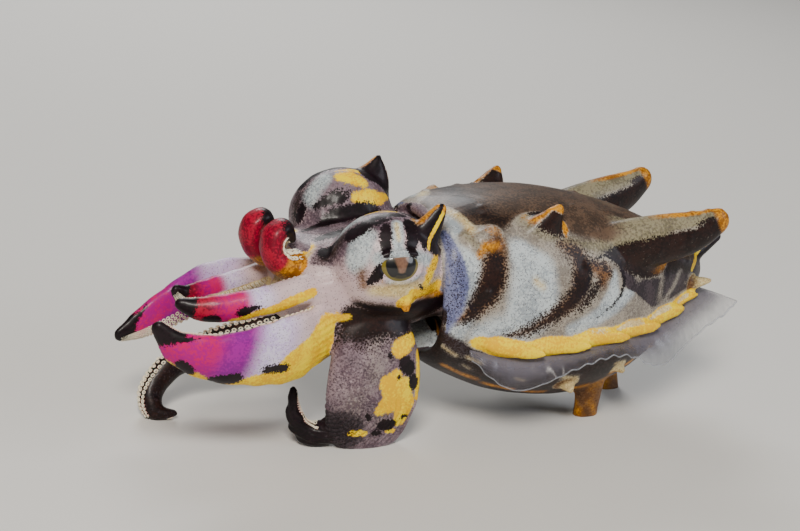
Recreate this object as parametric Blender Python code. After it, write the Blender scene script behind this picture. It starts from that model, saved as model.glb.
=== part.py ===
# A flamboyant cuttlefish on the sea floor, life size, as closed solids.
# The animal faces -X, its left side is -Y, the floor is z = 0.  Sizes below are in
# millimetres and are scaled to metres when each piece becomes an object.
import math
import random

import bpy
import bmesh
from mathutils import Vector

MM = 0.001
GAP = 0.3                # clear width between neighbouring pieces
SEED = 11

# mantle: x, half width, top, bottom, height of the widest line
MANTLE = (
    (-33.5, 17.4, 46.6, 15.2, 29.0), (-31.5, 18.4, 47.8, 13.6, 28.4),
    (-26.0, 19.3, 49.2, 10.6, 26.8), (-18.0, 20.3, 50.0, 7.2, 25.0),
    (-8.0, 20.4, 49.8, 5.0, 24.4), (2.0, 19.4, 48.2, 4.4, 24.6),
    (12.0, 16.8, 45.6, 6.6, 25.2), (21.0, 12.9, 42.2, 11.2, 26.2),
    (28.5, 8.4, 38.4, 16.8, 27.2), (34.0, 4.4, 34.8, 22.4, 28.2),
    (36.6, 1.9, 31.8, 26.4, 29.0),
)
MANTLE_TAIL = (37.6, 29.2)
BACK_POWER, BELLY_POWER = 2.6, 2.2   # how square the back and the belly are
MANTLE_RINGS, MANTLE_SIDES = 22, 32

# head: the same five columns, from the flat ring that carries the arms back to the neck
HEAD = (
    (-58.0, 14.1, 41.8, 22.6, 31.6), (-55.0, 14.6, 42.6, 22.4, 32.0),
    (-50.0, 15.0, 43.6, 22.4, 32.6), (-44.0, 15.4, 44.4, 22.8, 33.2),
    (-38.0, 15.4, 44.6, 23.4, 33.6), (-33.8, 14.6, 43.6, 24.4, 34.0),
)
HEAD_RINGS, HEAD_SIDES = 15, 30
CROWN_X = HEAD[0][0]
BULGE_AT = {-1: (-45.6, 11.6, 39.8), 1: (-46.2, 11.6, 42.2)}   # eye bulges, left side lower
BULGE_SIZE = (11.2, 8.6, 10.0)
BULGE_BLEND = 2.2

EYE_OUT = (-0.06, -0.95, 0.22)       # way the left eye looks
EYE_DEPTH = 1.4                      # centre of the eye below the skin
EYE_SIZE = (4.4, 3.9, 3.0)           # half length, half height, half depth
EYE_RINGS, EYE_SIDES = 7, 14
LID_THICK, LID_STEPS = 0.95, 18

# horns: path, half breadth and half thickness at each point, breadth direction
HORNS = {
    "shoulder": (((-24.8, 12.6, 41.4), (-24.4, 13.8, 43.8), (-23.8, 14.4, 45.8)),
                 (6.2, 4.0, 1.7), (5.2, 3.2, 1.4), (1, 0, 0)),
    "back": (((-12.2, 11.6, 41.0), (-10.8, 13.2, 45.6), (-8.8, 14.5, 50.0)),
             (9.4, 4.6, 1.2), (6.8, 3.0, 1.0), (1, 0, 0)),
    "rear": (((-3.0, 9.4, 36.6), (7.0, 11.4, 39.2), (16.0, 13.2, 41.4), (24.0, 14.8, 43.4), (30.2, 16.0, 46.4)),
             (5.4, 6.2, 5.8, 4.8, 2.8), (4.6, 4.2, 3.6, 2.9, 1.8), (-0.3, 0, 0.95)),
    "rump": (((26.0, 4.6, 27.5), (32.0, 6.2, 28.4), (35.6, 7.4, 29.2)),
             (2.4, 1.6, 0.6), (1.9, 1.3, 0.6), (0, 0, 1)),
    "flank_a": (((-3.0, 14.4, 12.4), (-2.4, 17.2, 10.0)), (3.6, 0.7), (2.6, 0.6), (1, 0, 0.3)),
    "flank_b": (((9.4, 12.4, 14.6), (11.2, 15.0, 12.6)), (3.0, 0.7), (2.2, 0.6), (1, 0, 0.3)),
    "flank_c": (((18.4, 9.2, 17.6), (20.2, 11.2, 16.2)), (2.4, 0.6), (1.9, 0.5), (1, 0, 0.3)),
}
TAIL_HORN = (((28.0, 0.0, 31.0), (35.0, 0.0, 33.2), (41.2, 0.0, 36.8)),
             (4.4, 2.5, 1.0), (3.6, 2.0, 0.9), (0, 1, 0))
EYE_HORN = {-1: (((-40.8, 13.4, 42.0), (-38.2, 14.4, 46.8), (-35.6, 14.6, 51.4)),
                 (5.0, 3.2, 1.3), (3.4, 2.3, 1.0), (1, 0, 0.5)),
            1: (((-41.4, 12.0, 45.4), (-38.6, 13.4, 50.2), (-37.4, 14.2, 53.8)),
                (6.0, 3.4, 0.8), (3.2, 1.9, 0.6), (1, 0, 0.3))}
CHEEK_HORN = (((-43.0, 14.4, 35.4), (-43.4, 17.6, 34.0), (-43.4, 19.0, 31.8)),
              (2.4, 1.8, 0.9), (2.0, 1.5, 0.7), (1, 0, 0))
HORN_RINGS, HORN_SIDES = 5, 7

# scalloped ridge above each fin: where each lobe starts and ends along the body
RIDGE_LOBES = ((-25.5, -12.5), (-15.0, -1.5), (-4.0, 9.0), (6.5, 18.5), (16.5, 27.5), (25.5, 33.8))
RIDGE_HALF = (2.2, 1.35)
RIDGE_TIP_OUT = 1.7
RIDGE_BELOW = ((-27.0, 3.6), (-12.0, 2.4), (2.0, 1.5), (17.0, 1.9), (36.0, 1.0))   # under the widest line

# fins: root along the flank, width and droop (degrees below level) along the body
FIN = ((-28.0, 2.0, 40.0), (-23.5, 5.2, 62.0), (-18.5, 7.0, 66.0), (-13.0, 6.2, 48.0),
       (-8.0, 6.0, 26.0), (0.0, 6.2, 10.0), (6.0, 6.4, 20.0), (11.5, 7.8, 52.0), (16.0, 8.4, 64.0),
       (20.5, 7.0, 46.0), (26.0, 7.2, 26.0), (31.0, 8.6, 20.0), (34.5, 9.4, 14.0))
FIN_BELOW = 2.4          # root below the ridge
FIN_THICK = (1.1, 0.55)
FIN_SWEEP = (0.05, 1.25)   # how far the sheet leans back, front and rear
FIN_STEPS, FIN_ACROSS = 24, 3

FUNNEL = (((-33.8, 0.0, 19.6), (-38.5, -0.6, 18.8), (-45.5, -1.2, 19.2)),
          (6.4, 5.0, 3.0), (4.0, 3.4, 2.4), (0, 1, 0))
FUNNEL_BORE = (2.0, 1.5, 4.0)

# arms: path, half breadth, half thickness, breadth direction, where the length is parted,
# then which side of the breadth the suckers sit on
ARMS = {
    "arm_left_1": (((-58.3, -4.1, 37.4), (-61.6, -4.4, 37.2), (-65.0, -4.6, 37.9), (-67.2, -4.6, 40.6),
                    (-67.0, -4.4, 43.8), (-64.8, -4.2, 45.3), (-62.9, -4.0, 42.8)),
                   (3.6, 3.8, 3.9, 3.7, 3.3, 2.8, 1.3), (3.0, 3.0, 2.7, 2.2, 2.2, 1.9, 1.0),
                   (0, 1, 0), 0.5, -1),
    "arm_right_1": (((-58.3, 4.1, 37.4), (-62.4, 4.4, 36.8), (-66.2, 4.8, 37.7), (-68.4, 4.8, 40.4),
                     (-68.2, 4.6, 43.4), (-66.0, 4.4, 44.9), (-64.1, 4.2, 42.6)),
                    (3.6, 3.8, 3.9, 3.7, 3.3, 2.8, 1.3), (3.0, 3.0, 2.7, 2.2, 2.2, 1.9, 1.0),
                    (0, 1, 0), 0.5, -1),
    "arm_left_2": (((-58.3, -10.6, 35.0), (-64.0, -11.6, 34.4), (-70.0, -11.8, 33.0), (-77.0, -11.0, 31.8),
                    (-83.0, -9.8, 31.4), (-87.2, -8.6, 32.4)),
                   (2.9, 3.0, 3.0, 2.9, 2.5, 1.2), (2.4, 2.3, 2.2, 2.0, 1.7, 0.9),
                   (0, 0.25, 1), 0.55, 1),
    "arm_right_2": (((-58.3, 10.6, 35.0), (-63.4, 9.0, 31.7), (-70.0, 7.2, 30.2), (-76.4, 6.2, 29.0),
                     (-81.2, 5.0, 28.8), (-84.0, 4.0, 30.6)),
                    (2.9, 2.6, 2.9, 3.0, 2.6, 1.2), (2.4, 2.2, 2.1, 2.0, 1.7, 0.9),
                    (0, -0.25, 1), 0.55, -1),
    "arm_left_3": (((-58.3, -12.0, 27.4), (-65.0, -15.2, 25.8), (-73.0, -17.2, 24.2), (-82.0, -17.4, 24.0),
                    (-89.0, -16.4, 26.2), (-93.4, -15.0, 30.6)),
                   (4.3, 5.9, 6.1, 5.1, 3.7, 1.4), (2.3, 2.6, 2.6, 2.3, 1.8, 0.9),
                   (0, -0.12, 1), 0.55, 1),
    "arm_right_3": (((-58.3, 12.2, 27.2), (-65.6, 15.8, 27.6), (-74.0, 15.0, 26.8), (-82.0, 13.4, 23.4),
                     (-88.6, 12.0, 20.6), (-93.6, 10.6, 18.8)),
                    (4.2, 5.0, 5.3, 4.7, 3.4, 1.4), (2.3, 2.5, 2.4, 2.1, 1.7, 0.9),
                    (0, -0.1, 1), 0.55, -1),
    "arm_left_4": (((-47.2, -9.4, 30.0), (-47.4, -13.0, 25.5), (-47.2, -14.3, 19.0), (-47.0, -14.2, 11.0),
                    (-46.8, -12.8, 4.0), (-46.6, -11.8, -1.3)),
                   (6.6, 8.2, 9.9, 10.3, 8.8, 5.8), (3.2, 3.2, 3.2, 2.9, 2.6, 2.2),
                   (1, 0, 0), 1.0, -1),
    "arm_left_4_tip": (((-53.2, -11.6, 4.2), (-57.4, -10.2, 2.4), (-60.4, -9.2, 4.0), (-61.9, -8.6, 7.8),
                        (-62.0, -8.2, 12.2)),
                       (2.2, 2.0, 1.7, 1.3, 0.6), (3.2, 2.8, 2.2, 1.6, 0.7),
                       (0, 1, 0), 1.0, -1),
    "arm_right_4": (((-48.5, 9.2, 26.6), (-53.5, 12.0, 19.2), (-62.0, 14.4, 15.0), (-71.5, 15.4, 12.8),
                     (-80.0, 14.6, 10.2), (-85.4, 12.6, 5.2), (-85.2, 10.2, 1.5), (-81.4, 8.4, 1.4)),
                    (2.8, 3.0, 2.8, 2.4, 2.2, 2.3, 2.1, 0.8), (4.4, 4.8, 4.4, 4.0, 3.2, 2.7, 2.1, 0.7),
                    (0, 1, 0), 0.62, -1),
}
FLAT_ANGLE = 0.01
ARM_SIDES = 12
ARM_POWER = 2.3
ARM_RINGS = 8

SUCKER_ROWS = 2
SUCKER_SIDES = 6
SUCKER_PER_ROW = {"base": 5, "tip": 6}
SUCKER_SIZE = 0.30       # rim radius as a share of the arm's half breadth
SUCKER_MAX, SUCKER_MIN = 0.95, 0.34
SUCKER_VARIATION = 0.12
SUCKER_START = {"arm_left_4": 0.3, "arm_right_4": 0.24, "arm_left_4_tip": 0.36,
                "arm_left_1_tip": 0.62, "arm_right_1_tip": 0.62}
SUCKER_END = {"arm_left_4": 0.88, "arm_left_1": 0.4, "arm_right_1": 0.4}

FLAP_LEFT = (((6.4, -9.8, 9.4), (6.8, -9.2, 4.6), (7.2, -8.0, -0.9)), (3.6, 3.1, 2.8), (2.0, 1.7, 1.8), (1, 0, 0))
FLAP_RIGHT = (((18.4, 6.0, 14.6), (19.2, 5.8, 7.0), (20.4, 4.8, -0.9)), (3.6, 3.1, 2.8), (2.0, 1.7, 1.8), (1, 0, 0))

SKINS = {
    "skin_head": (0.86, 0.78, 0.80, 0.42), "skin_mantle": (0.42, 0.34, 0.36, 0.45),
    "skin_arm": (0.72, 0.06, 0.28, 0.40), "skin_leg": (0.30, 0.22, 0.24, 0.45),
    "fin_sheet": (0.72, 0.70, 0.80, 0.35), "eye_cornea": (0.05, 0.05, 0.06, 0.12),
    "skin_funnel": (0.80, 0.84, 0.92, 0.40), "skin_flap": (0.70, 0.34, 0.10, 0.50),
}


def along(stations, x, column):
    """Smooth curve through one column of a station list."""
    last = len(stations) - 1
    if x <= stations[0][0]:
        return stations[0][column]
    if x >= stations[last][0]:
        return stations[last][column]
    i = max(k for k in range(last) if stations[k][0] <= x)

    def slope(k):
        a, b = max(k - 1, 0), min(k + 1, last)
        return (stations[b][column] - stations[a][column]) / (stations[b][0] - stations[a][0])

    x0, x1 = stations[i][0], stations[i + 1][0]
    y0, y1 = stations[i][column], stations[i + 1][column]
    t, w = (x - x0) / (x1 - x0), x1 - x0
    return (y0 * (1 + 2 * t) * (1 - t) ** 2 + y1 * t * t * (3 - 2 * t)
            + slope(i) * w * t * (1 - t) ** 2 - slope(i + 1) * w * t * t * (1 - t))


def oval_radius(stations, x, angle):
    """Distance from the widest line's centre to the skin; angle 0 is up, 90 is +Y."""
    half, top, low, mid = (along(stations, x, c) for c in (1, 2, 3, 4))
    s, c = abs(math.sin(angle)), math.cos(angle)
    height, power = (top - mid, BACK_POWER) if c > 0 else (mid - low, BELLY_POWER)
    return ((s / half) ** power + (abs(c) / height) ** power) ** (-1 / power)


def mantle_point(x, angle, out=0.0):
    r = oval_radius(MANTLE, x, angle) + out
    return Vector((x, r * math.sin(angle), along(MANTLE, x, 4) + r * math.cos(angle)))


def bulge_radius(x, angle, middle):
    """Where a ray from the head's axis leaves the eye bulge, or None if it misses."""
    cx, cy, cz = BULGE_AT[1 if math.sin(angle) > 0 else -1]
    ax, ay, az = BULGE_SIZE
    left = 1 - ((x - cx) / ax) ** 2
    if left <= 0:
        return None
    dy, dz = abs(math.sin(angle)), math.cos(angle)
    oy, oz = -cy, middle - cz
    a = (dy / ay) ** 2 + (dz / az) ** 2
    b = dy * oy / ay ** 2 + dz * oz / az ** 2
    c = (oy / ay) ** 2 + (oz / az) ** 2 - left
    inside = b * b - a * c
    return (-b + math.sqrt(inside)) / a if inside > 0 else None


def head_point(x, angle, out=0.0):
    middle = along(HEAD, x, 4)
    r = oval_radius(HEAD, x, angle)
    bulge = bulge_radius(x, angle, middle)
    if bulge is None:
        bulge = r - 6.0
    r = 0.5 * (r + bulge + math.sqrt((r - bulge) ** 2 + BULGE_BLEND ** 2)) + out
    return Vector((x, r * math.sin(angle), middle + r * math.cos(angle)))


def spline(points, t):
    """Point and direction at t in 0..1 on a curve through the points."""
    count = len(points) - 1
    s = min(max(t, 0.0), 1.0) * count
    i = min(int(s), count - 1)
    f = s - i
    p1, p2 = Vector(points[i]), Vector(points[i + 1])
    p0 = Vector(points[i - 1]) if i > 0 else 2 * p1 - p2
    p3 = Vector(points[i + 2]) if i + 2 <= count else 2 * p2 - p1
    m1, m2 = (p2 - p0) / 2, (p3 - p1) / 2
    at = (p1 * (1 + 2 * f) * (1 - f) ** 2 + p2 * f * f * (3 - 2 * f)
          + m1 * f * (1 - f) ** 2 - m2 * f * f * (1 - f))
    way = (p1 * (6 * f * f - 6 * f) + p2 * (6 * f - 6 * f * f)
           + m1 * (3 * f * f - 4 * f + 1) + m2 * (3 * f * f - 2 * f))
    return at, way.normalized()


def blend(values, t):
    s = min(max(t, 0.0), 1.0) * (len(values) - 1)
    i = min(int(s), len(values) - 2)
    return values[i] + (values[i + 1] - values[i]) * (s - i)


def limb_frame(limb, t):
    """Centre, direction, breadth axis, thickness axis and both half sizes at t."""
    path, breadth, thick, across = limb[:4]
    at, way = spline(path, t)
    side = Vector(across)
    side = (side - way * side.dot(way)).normalized()
    return at, way, side, way.cross(side), blend(breadth, t), blend(thick, t)


def limb_ring(limb, t, sides, power=2.0, out=0.0):
    at, way, side, face, half, deep = limb_frame(limb, t)
    ring = []
    for k in range(sides):
        a = 2 * math.pi * k / sides
        c, s = math.cos(a), math.sin(a)
        u = math.copysign(abs(c) ** (2 / power), c) * (half + out)
        v = math.copysign(abs(s) ** (2 / power), s) * (deep + out)
        ring.append(at + side * u + face * v)
    return ring


def rings_to_mesh(rings, start=None, end=None, thin=False):
    """Closed mesh from equal rings; start and end are tip points, or None for flat.

    A thin sheet's rings run out along one face and back along the other, and both
    faces are split into triangles alike.
    """
    mesh = bmesh.new()
    rows = [[mesh.verts.new(p) for p in ring] for ring in rings]
    count = len(rows[0])
    for a, b in zip(rows, rows[1:]):
        for k in range(count):
            n = (k + 1) % count
            if thin and k < count // 2:
                mesh.faces.new((a[k], a[n], b[n]))
                mesh.faces.new((a[k], b[n], b[k]))
            elif thin:
                mesh.faces.new((a[k], a[n], b[k]))
                mesh.faces.new((a[n], b[n], b[k]))
            else:
                mesh.faces.new((a[k], a[n], b[n], b[k]))
    for row, tip in ((rows[0], start), (rows[-1], end)):
        if tip is None:
            mesh.faces.new(row)
        else:
            point = mesh.verts.new(tip)
            for k in range(count):
                mesh.faces.new((row[k], row[(k + 1) % count], point))
    bmesh.ops.recalc_face_normals(mesh, faces=mesh.faces)
    return mesh


def to_object(name, mesh, skin=None):
    bmesh.ops.triangulate(mesh, faces=mesh.faces)
    data = bpy.data.meshes.new(name)
    mesh.to_mesh(data)
    mesh.free()
    obj = bpy.data.objects.new(name, data)
    bpy.context.scene.collection.objects.link(obj)
    if skin:
        data.materials.append(MATERIALS[skin])
    return obj


def limb_object(name, limb, t0, t1, rings, sides, power=2.0, out=0.0, tip=True, skin=None,
                floor=False, root_x=None, first=None):
    """A length of a limb from t0 to t1, with a rounded tip or a flat end."""
    steps = [t0 + (t1 - t0) * k / (rings - 1) for k in range(rings)]
    loops = [limb_ring(limb, t, sides, power, out) for t in steps]
    end = None
    if tip:
        at, way, _, _, half, deep = limb_frame(limb, t1)
        end = at + way * (0.7 * min(half, deep) + out)
    if floor:
        for loop in loops:
            for p in loop:
                p.z = max(p.z, 0.0)
    if root_x is not None:
        for p in loops[0]:
            p.x = root_x
    if first:
        loops[0] = first
    return to_object(name, rings_to_mesh(loops, None, end), skin)


def remove(obj):
    data = obj.data
    bpy.data.objects.remove(obj)
    bpy.data.meshes.remove(data)


def keep_largest(obj):
    """Drop every closed surface but the largest, and any stray vertex."""
    mesh = bmesh.new()
    mesh.from_mesh(obj.data)
    left, best = set(mesh.verts), []
    while left:
        group, stack = [], [left.pop()]
        while stack:
            v = stack.pop()
            group.append(v)
            for e in v.link_edges:
                w = e.other_vert(v)
                if w in left:
                    left.remove(w)
                    stack.append(w)
        best = group if len(group) > len(best) else best
    keep = set(best)
    bmesh.ops.delete(mesh, geom=[v for v in mesh.verts if v not in keep], context="VERTS")
    mesh.to_mesh(obj.data)
    mesh.free()


def is_closed(data):
    """True if every edge of the mesh has exactly two faces and it holds a volume."""
    mesh = bmesh.new()
    mesh.from_mesh(data)
    bmesh.ops.triangulate(mesh, faces=mesh.faces)
    good = len(mesh.faces) > 3 and all(e.is_manifold for e in mesh.edges) and mesh.calc_volume() > 0
    mesh.free()
    return good


def combine(body, tools, operation):
    """Apply one Boolean of all the tools to the body and remove the tools."""
    group = bpy.data.collections.new("tools")
    bpy.context.scene.collection.children.link(group)
    for tool in tools:
        group.objects.link(tool)
    step = body.modifiers.new("combine", "BOOLEAN")
    step.operand_type, step.collection, step.operation = "COLLECTION", group, operation
    for solver in ("EXACT", "MANIFOLD"):
        step.solver = solver
        bpy.context.view_layer.update()
        graph = bpy.context.evaluated_depsgraph_get()
        data = bpy.data.meshes.new_from_object(body.evaluated_get(graph))
        if is_closed(data):
            break
        print("open after", solver, body.name)
    old = body.data
    body.modifiers.clear()
    body.data = data
    data.name = body.name
    bpy.data.meshes.remove(old)
    for tool in tools:
        remove(tool)
    bpy.data.collections.remove(group)
    keep_largest(body)
    merge_flat(body)


def merge_flat(obj):
    """Merge the slivers that a Boolean leaves in one plane, if the mesh stays closed."""
    mesh = bmesh.new()
    mesh.from_mesh(obj.data)
    bmesh.ops.dissolve_limit(mesh, angle_limit=FLAT_ANGLE, verts=mesh.verts, edges=mesh.edges)
    bmesh.ops.triangulate(mesh, faces=mesh.faces)
    trial = bpy.data.meshes.new("trial")
    mesh.to_mesh(trial)
    mesh.free()
    if is_closed(trial):
        for mat in obj.data.materials:
            trial.materials.append(mat)
        old, obj.data, trial.name = obj.data, trial, obj.name
        bpy.data.meshes.remove(old)
    else:
        bpy.data.meshes.remove(trial)


def mirrored(limb, side):
    """The limb with y on the wanted side, -1 left and 1 right."""
    path = tuple((x, y * side, z) for x, y, z in limb[0])
    ax, ay, az = limb[3]
    return (path,) + limb[1:3] + ((ax, ay * side, az),) + limb[4:]


def mantle_rings(out=0.0):
    rings = []
    first, last = MANTLE[0][0], MANTLE[-1][0]
    for k in range(MANTLE_RINGS):
        t = k / (MANTLE_RINGS - 1)
        x = first + (last - first) * (t + 0.35 * t * (1 - t) * (2 * t - 1))
        rings.append([mantle_point(x, 2 * math.pi * j / MANTLE_SIDES, out) for j in range(MANTLE_SIDES)])
    return rings


def mantle_solid(name, out=0.0, skin=None):
    tip = Vector((MANTLE_TAIL[0] + out, 0, MANTLE_TAIL[1]))
    return to_object(name, rings_to_mesh(mantle_rings(out), None, tip), skin)


def flank_angle(x, below, side):
    """Angle at which the mantle's side lies a given distance under its widest line."""
    r = oval_radius(MANTLE, x, math.pi / 2)
    return side * (math.pi / 2 + math.atan2(below, r))


def ridge_lobe(start, end, side):
    """One overlapping flap of the bright ridge: a low bar whose rear end stands out."""
    points = []
    for k in range(4):
        t = k / 3
        x = start + (end - start) * t
        low = along(RIDGE_BELOW, x, 1) + 0.6 * t
        points.append(tuple(mantle_point(x, flank_angle(x, low, side), 0.1 + RIDGE_TIP_OUT * t * t)))
    fade = min(1.0, along(MANTLE, end, 1) / 9.0)
    a, b = RIDGE_HALF
    return (tuple(points), (a * 0.5 * fade, a * fade, a * fade, a * 0.45 * fade),
            (b * 0.5, b, b, b * 0.45), (0, 0, 1))


def build_mantle():
    body = mantle_solid("mantle", 0.0, "skin_mantle")
    extras = []
    for side in (-1, 1):
        for name, horn in HORNS.items():
            extras.append(limb_object("x", mirrored(horn, side), 0, 1, HORN_RINGS, HORN_SIDES))
        for start, end in RIDGE_LOBES:
            extras.append(limb_object("x", ridge_lobe(start, end, side), 0, 1, HORN_RINGS, 6))
    extras.append(limb_object("x", TAIL_HORN, 0, 1, HORN_RINGS, HORN_SIDES))
    combine(body, extras, "UNION")
    return body


def eye_place(side):
    """Centre and outward way of an eye, set below the bulge's skin."""
    out = Vector(EYE_OUT).normalized()
    out.y *= -side
    cx, cy, cz = BULGE_AT[side]
    size = Vector(BULGE_SIZE)
    reach = 1 / math.sqrt(sum((o / s) ** 2 for o, s in zip(out, size)))
    return Vector((cx, cy * side, cz)) + out * (reach - EYE_DEPTH), out


def eye_solid(name, side, out=0.0, skin=None):
    at, way = eye_place(side)
    up = (Vector((0, 0, 1)) - way * way.z).normalized()
    fore = up.cross(way)
    a, b, c = (s + out for s in EYE_SIZE)
    rings = []
    for k in range(1, EYE_RINGS):
        lat = math.pi * k / EYE_RINGS
        rings.append([at + fore * (a * math.sin(lat) * math.cos(p)) + up * (b * math.sin(lat) * math.sin(p))
                      - way * (c * math.cos(lat))
                      for p in (2 * math.pi * j / EYE_SIDES for j in range(EYE_SIDES))])
    return to_object(name, rings_to_mesh(rings, at - way * c, at + way * c), skin)


def lid_ring(side):
    """Both eyelids as one closed ring, thicker above and below than at the corners."""
    at, way = eye_place(side)
    up = (Vector((0, 0, 1)) - way * way.z).normalized()
    fore = up.cross(way)
    a, b, _ = EYE_SIZE
    mesh = bmesh.new()
    rows = []
    for k in range(LID_STEPS):
        p = 2 * math.pi * k / LID_STEPS
        high = abs(math.sin(p))
        middle = at + fore * ((a + 0.2) * math.cos(p)) + up * ((b + 0.2) * math.sin(p)) + way * (EYE_DEPTH - 0.2)
        radial = (fore * math.cos(p) * b + up * math.sin(p) * a).normalized()
        wide, tall = LID_THICK * (0.8 + 0.45 * high), LID_THICK * (0.75 + 0.35 * high)
        rows.append([mesh.verts.new(middle + radial * (wide * math.cos(q)) + way * (tall * math.sin(q)))
                     for q in (2 * math.pi * (j + 0.5) / 6 for j in range(6))])
    for k in range(LID_STEPS):
        a_row, b_row = rows[k], rows[(k + 1) % LID_STEPS]
        for j in range(6):
            n = (j + 1) % 6
            mesh.faces.new((a_row[j], a_row[n], b_row[n], b_row[j]))
    bmesh.ops.recalc_face_normals(mesh, faces=mesh.faces)
    return to_object("x", mesh)


def build_head():
    rings = []
    first, last = HEAD[0][0], HEAD[-1][0]
    for k in range(HEAD_RINGS):
        x = first + (last - first) * k / (HEAD_RINGS - 1)
        rings.append([head_point(x, 2 * math.pi * j / HEAD_SIDES) for j in range(HEAD_SIDES)])
    body = to_object("head", rings_to_mesh(rings), "skin_head")
    extras = []
    for side in (-1, 1):
        extras.append(limb_object("x", mirrored(EYE_HORN[side], side), 0, 1, HORN_RINGS, HORN_SIDES))
        extras.append(limb_object("x", mirrored(CHEEK_HORN, side), 0, 1, HORN_RINGS, 6))
        extras.append(lid_ring(side))
    combine(body, extras, "UNION")
    combine(body, [eye_solid("x", side, GAP) for side in (-1, 1)], "DIFFERENCE")
    for side, name in ((-1, "eye_left"), (1, "eye_right")):
        eye_solid(name, side, 0.0, "eye_cornea")
    return body


def head_solid(out):
    """Plain copy of the head, a little larger, for fitting the legs to it."""
    rings = []
    first, last = HEAD[0][0] - out, HEAD[-1][0] + 4.0
    for k in range(HEAD_RINGS):
        x = first + (last - first) * k / (HEAD_RINGS - 1)
        rings.append([head_point(x, 2 * math.pi * j / HEAD_SIDES, out) for j in range(HEAD_SIDES)])
    return to_object("x", rings_to_mesh(rings))


def sucker(at, way, up, radius):
    """A short cup: sunk root, rim and hollow."""
    side = way.cross(up)
    rings = []
    for size, height in ((0.75, -1.1), (1.0, 0.5)):
        rings.append([at + (way * math.cos(a) + side * math.sin(a)) * radius * size + up * radius * height
                      for a in (2 * math.pi * k / SUCKER_SIDES for k in range(SUCKER_SIDES))])
    return to_object("x", rings_to_mesh(rings, None, at + up * radius * 0.12))


def suckers(limb, t0, t1, count, face_side, rng):
    cups = []
    for row in range(SUCKER_ROWS):
        for k in range(count):
            t = t0 + (t1 - t0) * (k + 0.35 + 0.5 * row) / count
            at, way, side, face, half, deep = limb_frame(limb, min(t, 0.985))
            size = min(max(half * SUCKER_SIZE, SUCKER_MIN), SUCKER_MAX, half * 0.5)
            size *= 1 + rng.uniform(-SUCKER_VARIATION, SUCKER_VARIATION)
            offset = (row - 0.5) * 2 * half * 0.42
            share = abs(offset) / half
            skin = deep * (1 - share ** ARM_POWER) ** (1 / ARM_POWER)
            place = at + side * offset + face * face_side * (skin - 0.08)
            if place.z > 2 * size:
                cups.append(sucker(place, way, face * face_side, size))
    return cups


def limb_cut(limb, t):
    """How far in t half the clear width is, at t."""
    step = 1e-3
    a, _ = spline(limb[0], t)
    b, _ = spline(limb[0], t + step)
    return step * GAP / max((b - a).length, 1e-6)


def build_arms(rng):
    for name, limb in ARMS.items():
        part, face_side = limb[4], limb[5]
        skin = "skin_leg" if "_4" in name else "skin_arm"
        whole = part >= 1.0
        on_floor = "_4" in name
        # the length next to the head
        t1 = 1.0 if whole else part
        base = limb_object(name, limb, 0, t1, ARM_RINGS, ARM_SIDES, ARM_POWER,
                           tip=(whole and name.endswith("tip")), skin=skin, floor=on_floor,
                           root_x=None if on_floor else CROWN_X - GAP)
        fitted = []
        if name in ("arm_left_4", "arm_right_4"):
            fitted.append(head_solid(GAP * 1.35))
        if name == "arm_left_4_tip":
            fitted.append(limb_object("x", ARMS["arm_left_4"], 0, 1, ARM_RINGS, ARM_SIDES, ARM_POWER,
                                      out=GAP * 1.3, tip=False))
        if fitted:
            combine(base, fitted, "DIFFERENCE")
        low = SUCKER_START.get(name, 0.06)
        high = SUCKER_END.get(name, t1 - 0.04)
        combine(base, suckers(limb, low, high, SUCKER_PER_ROW["tip" if whole else "base"],
                              face_side, rng), "UNION")
        if whole:
            continue
        t0 = part + limb_cut(limb, part)
        _, way, _, _, _, _ = limb_frame(limb, part)
        first = [p + way * GAP for p in limb_ring(limb, part, ARM_SIDES, ARM_POWER)]
        tip = limb_object(name + "_tip", limb, t0, 1, ARM_RINGS, ARM_SIDES, ARM_POWER,
                          skin=skin, floor=on_floor, first=first)
        low = SUCKER_START.get(name + "_tip", t0 + 0.03)
        combine(tip, suckers(limb, low, 1.0, SUCKER_PER_ROW["tip"], face_side, rng), "UNION")


def fin_point(x, side, across, up):
    """Point on one face of the fin: across 0 is the root, 1 the free edge."""
    width, droop = along(FIN, x, 1), math.radians(along(FIN, x, 2))
    span = (x - FIN[0][0]) / (FIN[-1][0] - FIN[0][0])
    lean = FIN_SWEEP[0] + (FIN_SWEEP[1] - FIN_SWEEP[0]) * span ** 2
    root = mantle_point(x, flank_angle(x, along(RIDGE_BELOW, x, 1) + FIN_BELOW, side), -1.0)
    fall = droop * (0.55 + 0.45 * across)
    out = Vector((lean, side * math.cos(fall), -math.sin(fall))).normalized()
    normal = Vector((0, side * math.sin(fall), math.cos(fall))).normalized()
    thick = FIN_THICK[0] + (FIN_THICK[1] - FIN_THICK[0]) * across
    return root + out * ((width + 1.0) * across) + normal * (thick / 2 * up)


def build_fin(name, side):
    first, last = FIN[0][0], FIN[-1][0]
    rings = []
    for k in range(FIN_STEPS):
        x = first + (last - first) * k / (FIN_STEPS - 1)
        upper = [fin_point(x, side, j / FIN_ACROSS, 1) for j in range(FIN_ACROSS + 1)]
        lower = [fin_point(x, side, j / FIN_ACROSS, -1) for j in range(FIN_ACROSS, -1, -1)]
        rings.append(upper + lower)
    fin = to_object(name, rings_to_mesh(rings, thin=True), "fin_sheet")
    cutters = [mantle_solid("x", GAP * 1.5)]
    for start, end in RIDGE_LOBES:
        cutters.append(limb_object("x", ridge_lobe(start, end, side), 0, 1, HORN_RINGS, 6, out=GAP * 1.4))
    for name in ("rump", "flank_a", "flank_b", "flank_c"):
        cutters.append(limb_object("x", mirrored(HORNS[name], side), 0, 1, HORN_RINGS, HORN_SIDES,
                                   out=GAP * 1.4))
    combine(fin, cutters, "DIFFERENCE")


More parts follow.
